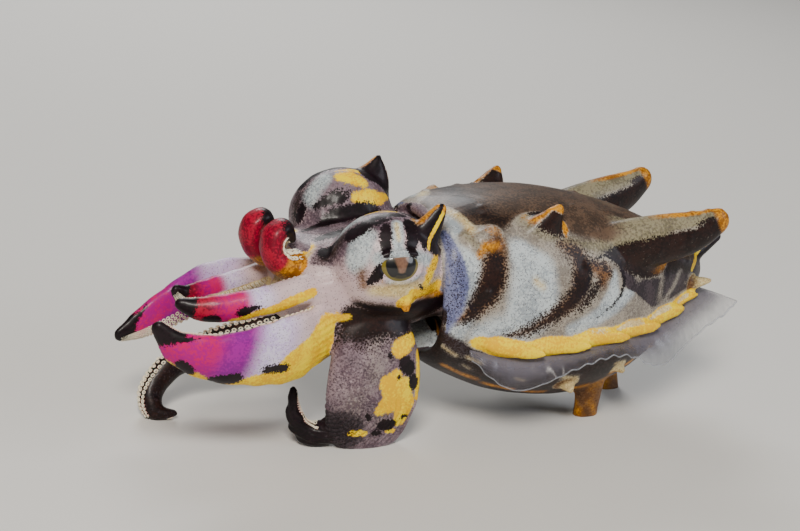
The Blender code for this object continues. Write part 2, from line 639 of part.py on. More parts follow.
def build_funnel():
    tube = limb_object("funnel", FUNNEL, 0, 1, 8, 14, tip=False, skin="skin_funnel",
                       root_x=MANTLE[0][0] - GAP)
    at, way, side, face, _, _ = limb_frame(FUNNEL, 1.0)
    wide, high, deep = FUNNEL_BORE
    rings = [[at + way * shift + side * (wide * math.cos(a)) + face * (high * math.sin(a))
              for a in (2 * math.pi * k / 12 for k in range(12))] for shift in (-deep, 1.0)]
    combine(tube, [to_object("x", rings_to_mesh(rings))], "DIFFERENCE")


def build_flaps():
    for name, limb in (("walking_flap_left", FLAP_LEFT), ("walking_flap_right", FLAP_RIGHT)):
        flap = limb_object(name, limb, 0, 1, 7, 12, 2.3, tip=False, skin="skin_flap", floor=True)
        combine(flap, [mantle_solid("x", GAP)], "DIFFERENCE")


def make_material(name, values):
    red, green, blue, rough = values
    mat = bpy.data.materials.new(name)
    mat.use_nodes = True
    mat.diffuse_color = (red, green, blue, 1)
    surface = mat.node_tree.nodes["Principled BSDF"]
    surface.inputs["Base Color"].default_value = (red, green, blue, 1)
    surface.inputs["Roughness"].default_value = rough
    return mat


def finish():
    """Centre the animal over the origin, scale to metres and shade it smooth."""
    pieces = [o for o in bpy.data.objects if o.type == "MESH"]
    points = [v.co for o in pieces for v in o.data.vertices]
    low = [min(p[i] for p in points) for i in range(3)]
    high = [max(p[i] for p in points) for i in range(3)]
    shift = Vector((-(low[0] + high[0]) / 2, -(low[1] + high[1]) / 2, -low[2]))
    for obj in pieces:
        for v in obj.data.vertices:
            v.co = (v.co + shift) * MM
        obj.data.shade_smooth()
        obj.data.set_sharp_from_angle(angle=math.radians(48))
        if len(obj.data.materials) > 1:
            first = obj.data.materials[0]
            obj.data.materials.clear()
            obj.data.materials.append(first)
    print("shift", tuple(round(s, 3) for s in shift), "size", [round(b - a, 2) for a, b in zip(low, high)])


for old in list(bpy.data.objects):
    bpy.data.objects.remove(old)
MATERIALS = {name: make_material(name, values) for name, values in SKINS.items()}
build_head()
build_mantle()
build_arms(random.Random(SEED))
build_fin("fin_left", -1)
build_fin("fin_right", 1)
build_funnel()
build_flaps()
finish()
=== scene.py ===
import bpy
import math
import random
import numpy as np
from mathutils import Matrix, Vector


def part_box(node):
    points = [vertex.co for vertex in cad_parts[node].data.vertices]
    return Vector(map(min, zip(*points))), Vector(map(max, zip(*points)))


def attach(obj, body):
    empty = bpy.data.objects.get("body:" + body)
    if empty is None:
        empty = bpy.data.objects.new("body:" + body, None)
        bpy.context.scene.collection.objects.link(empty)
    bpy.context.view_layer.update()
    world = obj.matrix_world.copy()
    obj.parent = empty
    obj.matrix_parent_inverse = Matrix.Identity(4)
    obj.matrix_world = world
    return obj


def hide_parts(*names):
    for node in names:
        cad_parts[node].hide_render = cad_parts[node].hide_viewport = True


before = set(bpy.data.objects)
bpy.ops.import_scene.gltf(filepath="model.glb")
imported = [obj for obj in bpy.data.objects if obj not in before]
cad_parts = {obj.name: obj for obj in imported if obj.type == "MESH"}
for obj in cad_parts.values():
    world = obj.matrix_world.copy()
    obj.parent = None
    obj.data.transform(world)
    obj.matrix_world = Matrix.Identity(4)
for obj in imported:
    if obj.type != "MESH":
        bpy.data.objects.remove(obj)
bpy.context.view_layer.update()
print("frame loaded")

# sizes are in millimetres in the body's own axes: nose -X, left side -Y, floor z = 0
mm = 0.001
collarX = -33.5   # front edge of the mantle
bodyShift = np.array([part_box("mantle")[0][0] / mm - collarX, 0.0, 0.0])   # into the frame's axes


def linearColour(hexCode, alpha=1.0):
    parts = [int(hexCode[i:i + 2], 16) / 255 for i in (1, 3, 5)]
    return tuple(p / 12.92 if p <= 0.04045 else ((p + 0.055) / 1.055) ** 2.4 for p in parts) + (alpha,)


def perMetre(size):
    return 1 / (size * mm)   # texture scale for one cell of this size in mm


def turn(count):
    return np.linspace(0, 2 * math.pi, count, endpoint=False)   # evenly spaced angles


def unit(vector):
    return vector / np.linalg.norm(vector)


def ramp(value, low, high):
    t = np.clip((value - low) / (high - low), 0, 1)
    return t * t * (3 - 2 * t)


def cubicAt(xs, ys, x):
    # smooth curve through the points, slopes from the neighbours
    xs, ys = np.asarray(xs, float), np.asarray(ys, float)
    last = len(xs) - 1
    before = np.maximum(np.arange(last + 1) - 1, 0)
    after = np.minimum(np.arange(last + 1) + 1, last)
    slopes = (ys[after] - ys[before]) / (xs[after] - xs[before])
    x = np.clip(x, xs[0], xs[-1])
    i = np.clip(np.searchsorted(xs, x, side="right") - 1, 0, last - 1)
    w = xs[i + 1] - xs[i]
    t = (x - xs[i]) / w
    return (ys[i] * (1 + 2 * t) * (1 - t) ** 2 + ys[i + 1] * t * t * (3 - 2 * t)
            + slopes[i] * w * t * (1 - t) ** 2 - slopes[i + 1] * w * t * t * (1 - t))


def columnAt(table, column, x):
    # one column of a table that has x as its first
    table = np.asarray(table, float)
    return cubicAt(table[:, 0], table[:, column], x)


def stationAt(stations, x):
    # half width, top, bottom and widest height at x
    return [float(columnAt(stations, column, x)) for column in (1, 2, 3, 4)]


def curveAt(points, t):
    # place and direction along a curve through the points, straight on past its ends
    points = np.asarray(points, float)
    count = len(points) - 1
    inside = min(max(t, 0.0), 1.0)
    s = inside * count
    i = min(int(s), count - 1)
    f = s - i
    p1, p2 = points[i], points[i + 1]
    p0 = points[i - 1] if i > 0 else 2 * p1 - p2
    p3 = points[i + 2] if i + 2 <= count else 2 * p2 - p1
    m1, m2 = (p2 - p0) / 2, (p3 - p1) / 2
    at = (p1 * (1 + 2 * f) * (1 - f) ** 2 + p2 * f * f * (3 - 2 * f)
          + m1 * f * (1 - f) ** 2 - m2 * f * f * (1 - f))
    way = (p1 * (6 * f * f - 6 * f) + p2 * (6 * f - 6 * f * f)
           + m1 * (3 * f * f - 4 * f + 1) + m2 * (3 * f * f - 2 * f))
    return at + way * count * (t - inside), unit(way)


def valueAt(values, t):
    return float(cubicAt(np.linspace(0, 1, len(values)), values, t))


def limbFrame(limb, t):
    # centre, direction, breadth axis, thickness axis and both half sizes
    at, way = curveAt(limb["path"], t)
    side = np.array(limb["across"], float)
    side = unit(side - way * side.dot(way))
    return at, way, side, np.cross(way, side), valueAt(limb["breadth"], t), valueAt(limb["thick"], t)


def limbRing(limb, t, sides, power, grow=1.0):
    at, way, side, face, half, deep = limbFrame(limb, t)
    a = turn(sides)
    u, v = (np.copysign(np.abs(w) ** (2 / power), w) * grow for w in (np.cos(a), np.sin(a)))
    return at + np.outer(u * half, side) + np.outer(v * deep, face)


def tube(rings, start=None, end=None):
    # closed mesh from equal rings, as points and faces; start and end are tip points
    count, sides = len(rings), len(rings[0])
    start = np.mean(rings[0], axis=0) if start is None else start
    end = np.mean(rings[-1], axis=0) if end is None else end
    points = np.vstack(list(rings) + [[start], [end]])
    faces = []
    for i in range(count - 1):
        for j in range(sides):
            n = (j + 1) % sides
            faces.append((i * sides + j, i * sides + n, (i + 1) * sides + n, (i + 1) * sides + j))
    for j in range(sides):
        n = (j + 1) % sides
        faces.append((count * sides, n, j))
        faces.append((count * sides + 1, (count - 1) * sides + j, (count - 1) * sides + n))
    return points, faces


def joined(parts):
    points, faces, base = [], [], 0
    for p, f in parts:
        points.append(p)
        faces += [tuple(k + base for k in face) for face in f]
        base += len(p)
    return np.vstack(points), faces


def limbTube(limb, rings, sides, power=2.0, root=0.0, t1=1.0, floor=False, waves=None):
    # a limb with a rounded tip; root is how far in t it starts before its first point
    loops = []
    for k in range(rings):
        t = -root + (t1 + root) * k / (rings - 1)
        grow = 1.0 if waves is None else 1 + waves[0] * math.sin(waves[1] * t + 1.7 * math.sin(3.1 * t))
        loop = limbRing(limb, t, sides, power, grow)
        if floor:
            loop[:, 2] = np.maximum(loop[:, 2], 0.0)
        loops.append(loop)
    at, way, _, _, half, deep = limbFrame(limb, t1)
    for part, shrink in ((0.45, 0.8), (0.8, 0.45)):   # round the tip
        ring = limbRing(limb, t1, sides, power, shrink)
        loops.append(ring + way * min(half, deep) * part)
    return tube(loops, None, at + way * min(half, deep))


def limbOf(path, breadth, thick, across, **more):
    # a tapering form along a curve: half breadth and half thickness from root to tip, way of its breadth
    return dict(more, path=path, breadth=breadth, thick=thick, across=across)


def mirrored(limb, side):
    return dict(limb, path=[(x, y * side, z) for x, y, z in limb["path"]],
                across=np.array(limb["across"]) * (1, side, 1))


def meshObject(name, points, faces, scale=mm):
    data = bpy.data.meshes.new(name)
    data.from_pydata((np.asarray(points) * scale).tolist(), [], faces)
    data.validate()
    obj = bpy.data.objects.new(name, data)
    bpy.context.scene.collection.objects.link(obj)
    return obj


def vectorsOf(data, key):
    # places ("co") or directions ("normal") of all vertices
    flat = np.empty(len(data.vertices) * 3)
    data.vertices.foreach_get(key, flat)
    return flat.reshape(-1, 3)


def setPoints(data, points):
    data.vertices.foreach_set("co", np.asarray(points).ravel())
    data.update()


def setField(data, name, values):
    field = data.attributes.new(name, "FLOAT", "POINT")
    field.data.foreach_set("value", np.clip(values, 0, 1).astype(np.float32))


# mantle: x, half width, top, bottom, height of the widest line
mantle = {
    "stations": (
        (-33.5, 17.4, 46.6, 15.2, 29.0), (-31.5, 18.4, 47.8, 13.6, 28.4),
        (-26.0, 19.3, 49.2, 10.6, 26.8), (-18.0, 20.3, 50.0, 7.2, 25.0),
        (-8.0, 20.4, 49.8, 5.0, 24.4), (2.0, 19.4, 48.2, 4.4, 24.6),
        (12.0, 16.8, 45.6, 6.6, 25.2), (21.0, 12.9, 42.2, 11.2, 26.2),
        (28.5, 8.4, 38.4, 16.8, 27.2), (34.0, 4.4, 34.8, 22.4, 28.2),
        (36.6, 1.9, 31.8, 26.4, 29.0)),
    "tail": (37.6, 0.0, 29.2), "backPower": 2.6, "bellyPower": 2.2,
    "rings": 110, "sides": 140,
    "lip": ((-34.1, -0.45), (-34.3, -1.1), (-33.9, -1.7), (-32.0, -2.0), (-29.6, -2.2)),   # x, inward
}
head = {
    "stations": (
        (-58.0, 14.1, 41.8, 22.6, 31.6), (-55.0, 14.6, 42.6, 22.4, 32.0),
        (-50.0, 15.0, 43.6, 22.4, 32.6), (-44.0, 15.4, 44.4, 22.8, 33.2),
        (-38.0, 15.4, 44.6, 23.4, 33.6), (-33.8, 14.6, 43.6, 24.4, 34.0)),
    "crown": ((-60.0, 0.95), (-61.6, 0.84), (-62.8, 0.66)),   # x, share of the last ring, round the mouth
    "neck": -28.0, "neckInward": -0.6, "rings": 90, "sides": 140,
    "bulgeAt": {-1: (-45.6, 11.6, 39.8), 1: (-46.2, 11.6, 42.2)},
    "bulgeSize": (11.2, 8.6, 10.0), "bulgeBlend": 2.2, "bulgeSunk": 6.0,
}
eye = {"out": (-0.06, -0.95, 0.22), "depth": 1.4, "size": (4.4, 3.9, 2.7),
       "lid": 0.95, "lidSteps": 56, "lidSides": 14,
       "droop": (1.7, 0.55)}   # how far the upper and lower lid close over the ball, in mm


def ovalRadius(stations, x, angles):
    # distance from the widest line's centre to the skin; angle 0 is up, 90 is +Y
    half, top, low, mid = stationAt(stations, x)
    s, c = np.abs(np.sin(angles)), np.cos(angles)
    height = np.where(c > 0, top - mid, mid - low)
    power = np.where(c > 0, mantle["backPower"], mantle["bellyPower"])
    return ((s / half) ** power + (np.abs(c) / height) ** power) ** (-1 / power), mid


def ringRound(x, r, angles, mid):
    return np.column_stack([np.full(len(angles), x), r * np.sin(angles), mid + r * np.cos(angles)])


def mantleRing(x, angles, out=0.0):
    r, mid = ovalRadius(mantle["stations"], x, angles)
    return ringRound(x, r + out, angles, mid)


def headRing(x, angles, out=0.0, share=1.0):
    # the oval of the head, blended with an eye bulge (an ellipsoid) on each side
    r, mid = ovalRadius(head["stations"], x, angles)
    bulge = r - head["bulgeSunk"]
    ax, ay, az = head["bulgeSize"]
    dy, dz = np.abs(np.sin(angles)), np.cos(angles)
    for side in (-1, 1):
        cx, cy, cz = head["bulgeAt"][side]
        left = 1 - ((x - cx) / ax) ** 2
        if left <= 0:
            continue
        oy, oz = -cy, mid - cz
        a = (dy / ay) ** 2 + (dz / az) ** 2
        b = dy * oy / ay ** 2 + dz * oz / az ** 2
        c = (oy / ay) ** 2 + (oz / az) ** 2 - left
        inside = b * b - a * c
        hit = (inside > 0) & (np.sin(angles) * side > 0)
        bulge = np.where(hit, (-b + np.sqrt(np.maximum(inside, 0))) / a, bulge)
    r = (0.5 * (r + bulge + np.sqrt((r - bulge) ** 2 + head["bulgeBlend"] ** 2)) + out) * share
    return ringRound(x, r, angles, mid)


def flankAngle(x, below, side):
    # where the mantle's side lies a given distance under its widest line
    r, _ = ovalRadius(mantle["stations"], x, np.array([math.pi / 2]))
    return side * (math.pi / 2 + math.atan2(below, float(r[0])))


def mantleSpot(x, angle, out=0.0):
    return mantleRing(x, np.array([angle]), out)[0]


def movedTo(x, ring):
    ring[:, 0] = x
    return ring


def mantleTube():
    first, last = mantle["stations"][0][0], mantle["stations"][-1][0]
    angles = turn(mantle["sides"])
    loops = [mantleRing(x, angles) for x in np.linspace(last, first, mantle["rings"])]
    # the free rim folds in round the neck
    loops += [movedTo(x, mantleRing(first, angles, inward)) for x, inward in mantle["lip"]]
    return tube(loops, np.array(mantle["tail"]), None)


def headTube():
    angles = turn(head["sides"])
    low, high = head["stations"][0][0], head["stations"][-1][0]
    loops = [headRing(head["neck"], angles, head["neckInward"])]
    loops += [headRing(x, angles) for x in np.linspace(high, low, head["rings"])]
    loops += [movedTo(x, headRing(low, angles, 0.0, share)) for x, share in head["crown"]]
    return tube(loops)


# horns of the back and flank: skin drawn up into tapering cones on broad bases
horns = {
    "shoulder": limbOf(((-24.8, 12.6, 41.4), (-24.4, 13.8, 43.8), (-23.8, 14.4, 45.8)),
                       (6.2, 4.0, 1.7), (5.2, 3.2, 1.4), (1, 0, 0)),
    "back": limbOf(((-12.2, 11.6, 41.0), (-10.8, 13.2, 45.6), (-8.8, 14.5, 50.0)),
                   (9.4, 4.6, 1.2), (6.8, 3.0, 1.0), (1, 0, 0)),
    "rear": limbOf(((-3.0, 9.4, 36.6), (7.0, 11.4, 39.2), (16.0, 13.2, 41.4), (24.0, 14.8, 43.4),
                    (30.2, 16.0, 46.4)),
                   (5.4, 6.2, 5.8, 4.8, 2.8), (4.6, 4.2, 3.6, 2.9, 1.8), (-0.3, 0, 0.95)),
    "rump": limbOf(((26.0, 4.6, 27.5), (32.0, 6.2, 28.4), (35.6, 7.4, 29.2)),
                   (2.4, 1.6, 0.6), (1.9, 1.3, 0.6), (0, 0, 1)),
    "flankA": limbOf(((-3.0, 14.4, 12.4), (-2.4, 17.2, 10.0)), (3.6, 0.7), (2.6, 0.6), (1, 0, 0.3)),
    "flankB": limbOf(((9.4, 12.4, 14.6), (11.2, 15.0, 12.6)), (3.0, 0.7), (2.2, 0.6), (1, 0, 0.3)),
    "flankC": limbOf(((18.4, 9.2, 17.6), (20.2, 11.2, 16.2)), (2.4, 0.6), (1.9, 0.5), (1, 0, 0.3)),
}
tailHorn = limbOf(((28.0, 0.0, 31.0), (35.0, 0.0, 33.2), (41.2, 0.0, 36.8)),
                  (4.4, 2.5, 1.0), (3.6, 2.0, 0.9), (0, 1, 0))
eyeHorn = {-1: limbOf(((-40.8, 13.4, 42.0), (-38.2, 14.4, 46.8), (-35.6, 14.6, 51.4)),
                      (5.0, 3.2, 1.3), (3.4, 2.3, 1.0), (1, 0, 0.5)),
           1: limbOf(((-41.4, 12.0, 45.4), (-38.6, 13.4, 50.2), (-37.4, 14.2, 53.8)),
                     (6.6, 3.8, 0.8), (3.2, 1.9, 0.6), (1, 0, 0.3))}
cheekHorn = limbOf(((-43.0, 14.4, 35.4), (-43.4, 17.6, 34.0), (-43.4, 19.0, 31.8)),
                   (2.4, 1.8, 0.9), (2.0, 1.5, 0.7), (1, 0, 0))
hornMesh = {"rings": 40, "sides": 32}

# bright scalloped ridge above each fin: where each overlapping lobe starts and ends
ridge = {"lobes": ((-25.5, -12.5), (-15.0, -1.5), (-4.0, 9.0), (6.5, 18.5), (16.5, 27.5), (25.5, 33.8)),
         "height": 1.55, "thick": 0.9, "tipOut": 2.1,
         # x, under the widest line
         "below": ((-27.0, 3.6), (-12.0, 2.4), (2.0, 1.5), (17.0, 1.9), (36.0, 1.0))}

# oral: which side of the breadth the suckers are on; cups: the part of the breadth that they cover
arms = {
    "arm_left_1": limbOf(
        ((-58.3, -4.1, 37.4), (-61.6, -4.4, 37.2), (-65.0, -4.6, 37.9), (-67.2, -4.6, 40.6),
         (-67.0, -4.4, 43.8), (-64.8, -4.2, 45.3), (-62.9, -4.0, 42.8)),
        (3.6, 3.8, 3.9, 3.7, 3.3, 2.8, 1.3), (3.0, 3.0, 2.7, 2.3, 2.2, 1.9, 1.0), (0, 1, 0), oral=-1, pair=1),
    "arm_right_1": limbOf(
        ((-58.3, 4.1, 37.4), (-62.4, 4.4, 36.8), (-66.2, 4.8, 37.7), (-68.4, 4.8, 40.4), (-68.2, 4.6, 43.4),
         (-66.0, 4.4, 44.9), (-64.1, 4.2, 42.6)),
        (3.6, 3.8, 3.9, 3.7, 3.3, 2.8, 1.3), (3.0, 3.0, 2.7, 2.3, 2.2, 1.9, 1.0), (0, 1, 0), oral=-1, pair=1),
    "arm_left_2": limbOf(
        ((-58.3, -10.6, 35.0), (-64.0, -11.6, 34.4), (-70.0, -11.8, 33.0), (-77.0, -11.0, 31.8),
         (-83.0, -9.8, 31.4), (-87.2, -8.6, 32.4)),
        (2.9, 3.0, 3.0, 2.9, 2.5, 1.2), (2.4, 2.3, 2.2, 2.0, 1.7, 0.9), (0, 0.25, 1), oral=1, pair=2,
        cups=(-0.5, 0.9)),
    "arm_right_2": limbOf(
        ((-58.3, 10.6, 35.0), (-63.4, 9.0, 31.7), (-70.0, 7.2, 30.2), (-76.4, 6.2, 29.0), (-81.2, 5.0, 28.8),
         (-84.0, 4.0, 30.6)),
        (2.9, 2.6, 2.9, 3.0, 2.6, 1.2), (2.4, 2.2, 2.1, 2.0, 1.7, 0.9), (0, -0.25, 1), oral=-1, pair=2,
        cups=(-0.9, 0.05)),
    "arm_left_3": limbOf(
        ((-58.3, -12.0, 25.3), (-65.0, -15.2, 24.1), (-73.0, -17.2, 23.7), (-82.0, -17.4, 24.0),
         (-89.0, -16.4, 26.2), (-93.4, -15.0, 30.6)),
        (6.4, 7.6, 6.6, 5.1, 3.7, 1.4), (2.3, 2.6, 2.6, 2.3, 1.8, 0.9), (0, -0.12, 1), oral=1, pair=3,
        cups=(0.1, 0.95)),
    "arm_right_3": limbOf(
        ((-58.3, 12.2, 27.2), (-65.6, 15.8, 27.6), (-74.0, 15.0, 26.8), (-82.0, 13.4, 23.4),
         (-88.6, 12.0, 20.6), (-93.6, 10.6, 18.8)),
        (4.2, 5.0, 5.3, 4.7, 3.4, 1.4), (2.3, 2.5, 2.4, 2.1, 1.7, 0.9), (0, -0.1, 1), oral=-1, pair=3,
        cups=(-0.92, -0.1)),
    "arm_left_4": limbOf(
        ((-47.2, -9.4, 30.0), (-47.4, -13.0, 25.5), (-47.2, -14.3, 19.0), (-47.0, -14.2, 11.0),
         (-46.8, -12.8, 4.0), (-46.6, -11.8, -1.3)),
        (6.6, 8.2, 9.9, 10.3, 8.8, 5.8), (3.2, 3.2, 3.2, 2.9, 2.6, 2.2), (1, 0, 0), oral=-1, pair=4),
    "arm_left_4_tip": limbOf(
        ((-53.2, -11.6, 4.2), (-57.4, -10.2, 2.4), (-60.4, -9.2, 4.0),
         (-61.9, -8.6, 7.8), (-62.0, -8.2, 12.2)),
        (2.2, 2.0, 1.7, 1.3, 0.6), (3.2, 2.8, 2.2, 1.6, 0.7), (0, 1, 0), oral=-1, pair=5),
    "arm_right_4": limbOf(
        ((-48.5, 9.2, 26.6), (-53.5, 12.0, 19.2), (-62.0, 14.4, 15.0), (-71.5, 15.4, 12.8),
         (-80.0, 14.6, 10.2), (-85.4, 12.6, 5.2), (-85.2, 10.2, 1.5), (-81.4, 8.4, 1.4)),
        (2.8, 3.0, 2.8, 2.4, 2.2, 2.3, 2.1, 0.8), (4.4, 4.8, 4.4, 4.0, 3.2, 2.7, 2.1, 0.7), (0, 1, 0),
        oral=-1, pair=6),
}
armShape = {"rings": 90, "sides": 48, "power": 1.9, "root": 0.09, "waves": (0.022, 46.0)}

funnel = limbOf(((-30.8, 0.0, 19.6), (-38.5, -0.6, 18.8), (-45.5, -1.2, 19.2)),
                (6.4, 5.0, 3.0), (4.0, 3.4, 2.4), (0, 1, 0), bore=0.7, boreDeep=4.0, rings=30, sides=40)
mouth = {"at": (-61.8, 0.0, 29.4), "folds": (14, 0.09), "sides": 96,
         # how far ahead of that place, and radius
         "rings": ((-2.0, 4.6), (0.6, 4.5), (1.8, 4.0), (2.6, 3.1), (2.4, 2.2), (1.4, 1.5), (0.4, 1.1))}
flaps = [limbOf(path, (3.8, 3.1, 2.8), (2.2, 1.7, 1.8), (1, 0, 0)) for path in (
    ((6.2, -10.2, 11.4), (6.8, -9.2, 4.6), (7.2, -8.0, -0.9)),
    ((18.2, 6.1, 16.6), (19.2, 5.8, 7.0), (20.4, 4.8, -0.9)))]


def ridgeBelow(x):
    return float(columnAt(ridge["below"], 1, x))


def ridgeLobe(start, end, side):
    path = []
    for t in np.linspace(0, 1, 6):
        x = start + (end - start) * t
        angle = flankAngle(x, ridgeBelow(x) + 0.6 * t, side)
        path.append(mantleSpot(x, angle, 0.1 + ridge["tipOut"] * t * t))
    fade = min(1.0, stationAt(mantle["stations"], end)[0] / 9.0)   # lower where the body narrows to the tail
    return limbOf(path, [ridge["height"] * fade * share for share in (0.4, 1, 1, 1, 0.95, 0.4)],
                  [ridge["thick"] * share for share in (0.4, 1, 1, 0.9, 0.7, 0.35)], (0, 0, 1))


def funnelTube():
    # a tapering spout, open at its end
    loops = [limbRing(funnel, t, funnel["sides"], 2.0) for t in np.linspace(0, 1, funnel["rings"])]
    at, way = limbFrame(funnel, 1.0)[:2]
    rim = loops[-1] - at
    for shift, share in ((0.25, 0.96), (0.3, 0.86), (-0.2, 0.76), (-funnel["boreDeep"], funnel["bore"])):
        loops.append(rim * share + at + way * shift)
    return tube(loops)


def mouthTube():
    angles = turn(mouth["sides"])
    fold = 1 + mouth["folds"][1] * np.cos(mouth["folds"][0] * angles)
    return tube([ringRound(-ahead, radius * fold, angles, 0.0) + mouth["at"]
                 for ahead, radius in mouth["rings"]])


def eyePlace(side):
    # centre, outward way, up and forward axes of an eye set below the bulge's skin
    way = unit(np.array(eye["out"])) * (1, -side, 1)
    cx, cy, cz = head["bulgeAt"][side]
    reach = 1 / math.sqrt(sum((o / s) ** 2 for o, s in zip(way, head["bulgeSize"])))
    at = np.array([cx, cy * side, cz]) + way * (reach - eye["depth"])
    up = unit(np.array([0, 0, 1.0]) - way * way[2])
    return at, way, up, np.cross(up, way) * side   # forward axis points to the tail on both sides


def lidRing(side):
    # both lids as one closed fold, heavier above the eye
    at, way, up, fore = eyePlace(side)
    a, b, _ = eye["size"]
    loops = []
    q = turn(eye["lidSides"])
    for p in turn(eye["lidSteps"]):
        high, low = max(math.sin(p), 0), max(-math.sin(p), 0)
        shut = eye["droop"][0] * high + eye["droop"][1] * low
        middle = (at + fore * ((a + 0.25) * math.cos(p)) + up * ((b + 0.05 - shut) * math.sin(p))
                  + way * (eye["depth"] - 0.25 + 0.75 * high))
        radial = unit(fore * math.cos(p) * b + up * math.sin(p) * a)
        wide = eye["lid"] * (0.55 + 0.45 * high + 0.2 * low)
        tall = eye["lid"] * (0.55 + 0.4 * high + 0.1 * low)
        loops.append(middle + np.outer(np.cos(q) * wide, radial) + np.outer(np.sin(q) * tall, way))
    count, sides = len(loops), len(q)
    faces = [(i * sides + j, i * sides + (j + 1) % sides, (i + 1) % count * sides + (j + 1) % sides,
              (i + 1) % count * sides + j) for i in range(count) for j in range(sides)]
    return np.vstack(loops), faces


def remeshed(name, points, faces, voxel):
    # fuse overlapping closed forms into one even skin, still in mm
    rough = meshObject(name, points, faces, 1.0)
    step = rough.modifiers.new("fuse", "REMESH")
    step.mode, step.voxel_size, step.adaptivity = "VOXEL", voxel, 0.0
    graph = bpy.context.evaluated_depsgraph_get()
    data = bpy.data.meshes.new_from_object(rough.evaluated_get(graph))
    old = rough.data
    rough.modifiers.clear()
    rough.data = data
    bpy.data.meshes.remove(old)
    data.name = name
    return rough


def relaxed(data, points, weights, rounds):
    # move each point towards the middle of its neighbours
    edges = np.empty(len(data.edges) * 2, dtype=np.int64)
    data.edges.foreach_get("vertices", edges)
    a, b = edges[0::2], edges[1::2]
    count = len(points)
    share = 1 / np.maximum(np.bincount(a, minlength=count) + np.bincount(b, minlength=count), 1)
    for _ in range(rounds):
        for axis in range(3):
            column = points[:, axis]
            total = (np.bincount(a, weights=column[b], minlength=count)
                     + np.bincount(b, weights=column[a], minlength=count))
            points[:, axis] = column + weights * (total * share - column)
    return points


# one skin: mantle, horns, ridge, head, mouth, lids, arms, legs, belly flaps and funnel fused together
skinLook = {"voxel": 0.42, "rounds": 7, "smooth": 0.5, "crisp": (1.0, 4.0), "soleHigh": 0.62}
parts = [mantleTube(), headTube(), funnelTube(), mouthTube()]
for side in (-1, 1):
    for horn in horns.values():
        parts.append(limbTube(mirrored(horn, side), **hornMesh, root=0.3))
    for start, end in ridge["lobes"]:
        parts.append(limbTube(ridgeLobe(start, end, side), 30, 24, 2.4))
    parts.append(limbTube(mirrored(eyeHorn[side], side), **hornMesh, root=0.2))
    parts.append(limbTube(mirrored(cheekHorn, side), 24, 24, root=0.3))
    parts.append(lidRing(side))
parts.append(limbTube(tailHorn, **hornMesh, root=0.1))
parts += [limbTube(flap, **hornMesh, power=2.3, floor=True) for flap in flaps]
for name, arm in arms.items():
    onFloor = "_4" in name
    parts.append(limbTube(arm, armShape["rings"], armShape["sides"], armShape["power"],
                          root=0.02 if onFloor else armShape["root"], floor=onFloor,
                          waves=None if onFloor else armShape["waves"]))
skin = remeshed("skin", *joined(parts), skinLook["voxel"])
body = vectorsOf(skin.data, "co")
print("skin fused", len(body), "points", len(skin.data.polygons), "faces")

# keep the thin tips crisp while the rest is smoothed into fillets
pointed = [mirrored(horn, s) for s in (-1, 1) for horn in (*horns.values(), eyeHorn[s])]
tips = [np.array(limb["path"][-1]) for limb in (*pointed, tailHorn, *arms.values())]
nearTip = np.min([np.linalg.norm(body - tip, axis=1) for tip in tips], axis=0)
weights = skinLook["smooth"] * (0.25 + 0.75 * ramp(nearTip, *skinLook["crisp"]))
weights *= np.where(body[:, 2] < skinLook["soleHigh"], 0.3, 1)   # soles stay flat
body = relaxed(skin.data, body, weights, skinLook["rounds"])
body[:, 2] = np.maximum(body[:, 2], 0.0)
setPoints(skin.data, body)


def limbCoords(points, limb, count=90):
    # t along the limb, u across its breadth, v across its thickness and how far out in radii (rho)
    ts = np.linspace(0, 1, count)
    frames = [limbFrame(limb, t) for t in ts]
    centres, *axes = (np.array([f[k] for f in frames]) for k in range(6))
    length = np.linalg.norm(np.diff(centres, axis=0), axis=1).sum()
    near = np.empty(len(points), dtype=np.int64)
    chunk = 20000   # points at a time, to spare memory
    for first in range(0, len(points), chunk):
        some = points[first:first + chunk]
        near[first:first + chunk] = np.argmin(((some[:, None, :] - centres[None]) ** 2).sum(2), axis=1)
    away = points - centres[near]
    ways, sides, faces, halves, deeps = (axis[near] for axis in axes)
    ahead, u, v = ((away * axis).sum(1) for axis in (ways, sides, faces))
    past = np.maximum(np.abs(ahead) - length / count, 0)
    rho = np.sqrt((u / (halves + 0.3)) ** 2 + (v / (deeps + 0.3)) ** 2 + (past / 1.5) ** 2)
    return {"t": ts[near] + ahead / length, "u": u, "v": v, "half": halves, "deep": deeps, "rho": rho,
            "length": length}


def noise(size, seed):
    # smooth seeded noise in -1..1 over the skin, with features of about this size in mm
    rng = np.random.default_rng(seed)
    total = np.zeros(len(body))
    for octave, share in ((1.0, 0.65), (2.1, 0.35)):
        for _ in range(5):
            way = unit(rng.normal(size=3))
            total += share * np.sin(body @ way * (2 * math.pi * octave / (size * 2)) + rng.uniform(0, 6.28))
    return total / 3.2


def stroke(points, spots, radii, edge):
    # amount of a painted stroke: 1 inside, 0.5 on its outline, 0 outside, edge mm wide
    spots = np.array(spots, float)
    radii = np.full(len(spots), radii) if np.isscalar(radii) else radii
    best = np.full(len(points), 1e9)
    for a, b, r0, r1 in zip(spots, spots[1:], radii, radii[1:]):
        t = np.clip((points - a) @ (b - a) / max((b - a) @ (b - a), 1e-9), 0, 1)
        gap = np.linalg.norm(points - a - t[:, None] * (b - a), axis=1) - (r0 + (r1 - r0) * t)
        best = np.minimum(best, gap)
    return np.clip(0.5 - best / (2 * edge), 0, 1)


# where every point of the skin lies on the body, on each arm and on each horn
right = body[:, 1] > 0
wander = np.column_stack([noise(6.0, 3), noise(6.0, 4)]) * 0.45
xs = body[:, 0]
midline = np.where(xs > collarX, columnAt(mantle["stations"], 4, xs), columnAt(head["stations"], 4, xs))
angleOf = np.degrees(np.arctan2(np.abs(body[:, 1]), body[:, 2] - midline))
degreeLong = 0.32   # mm of skin for each degree round the body
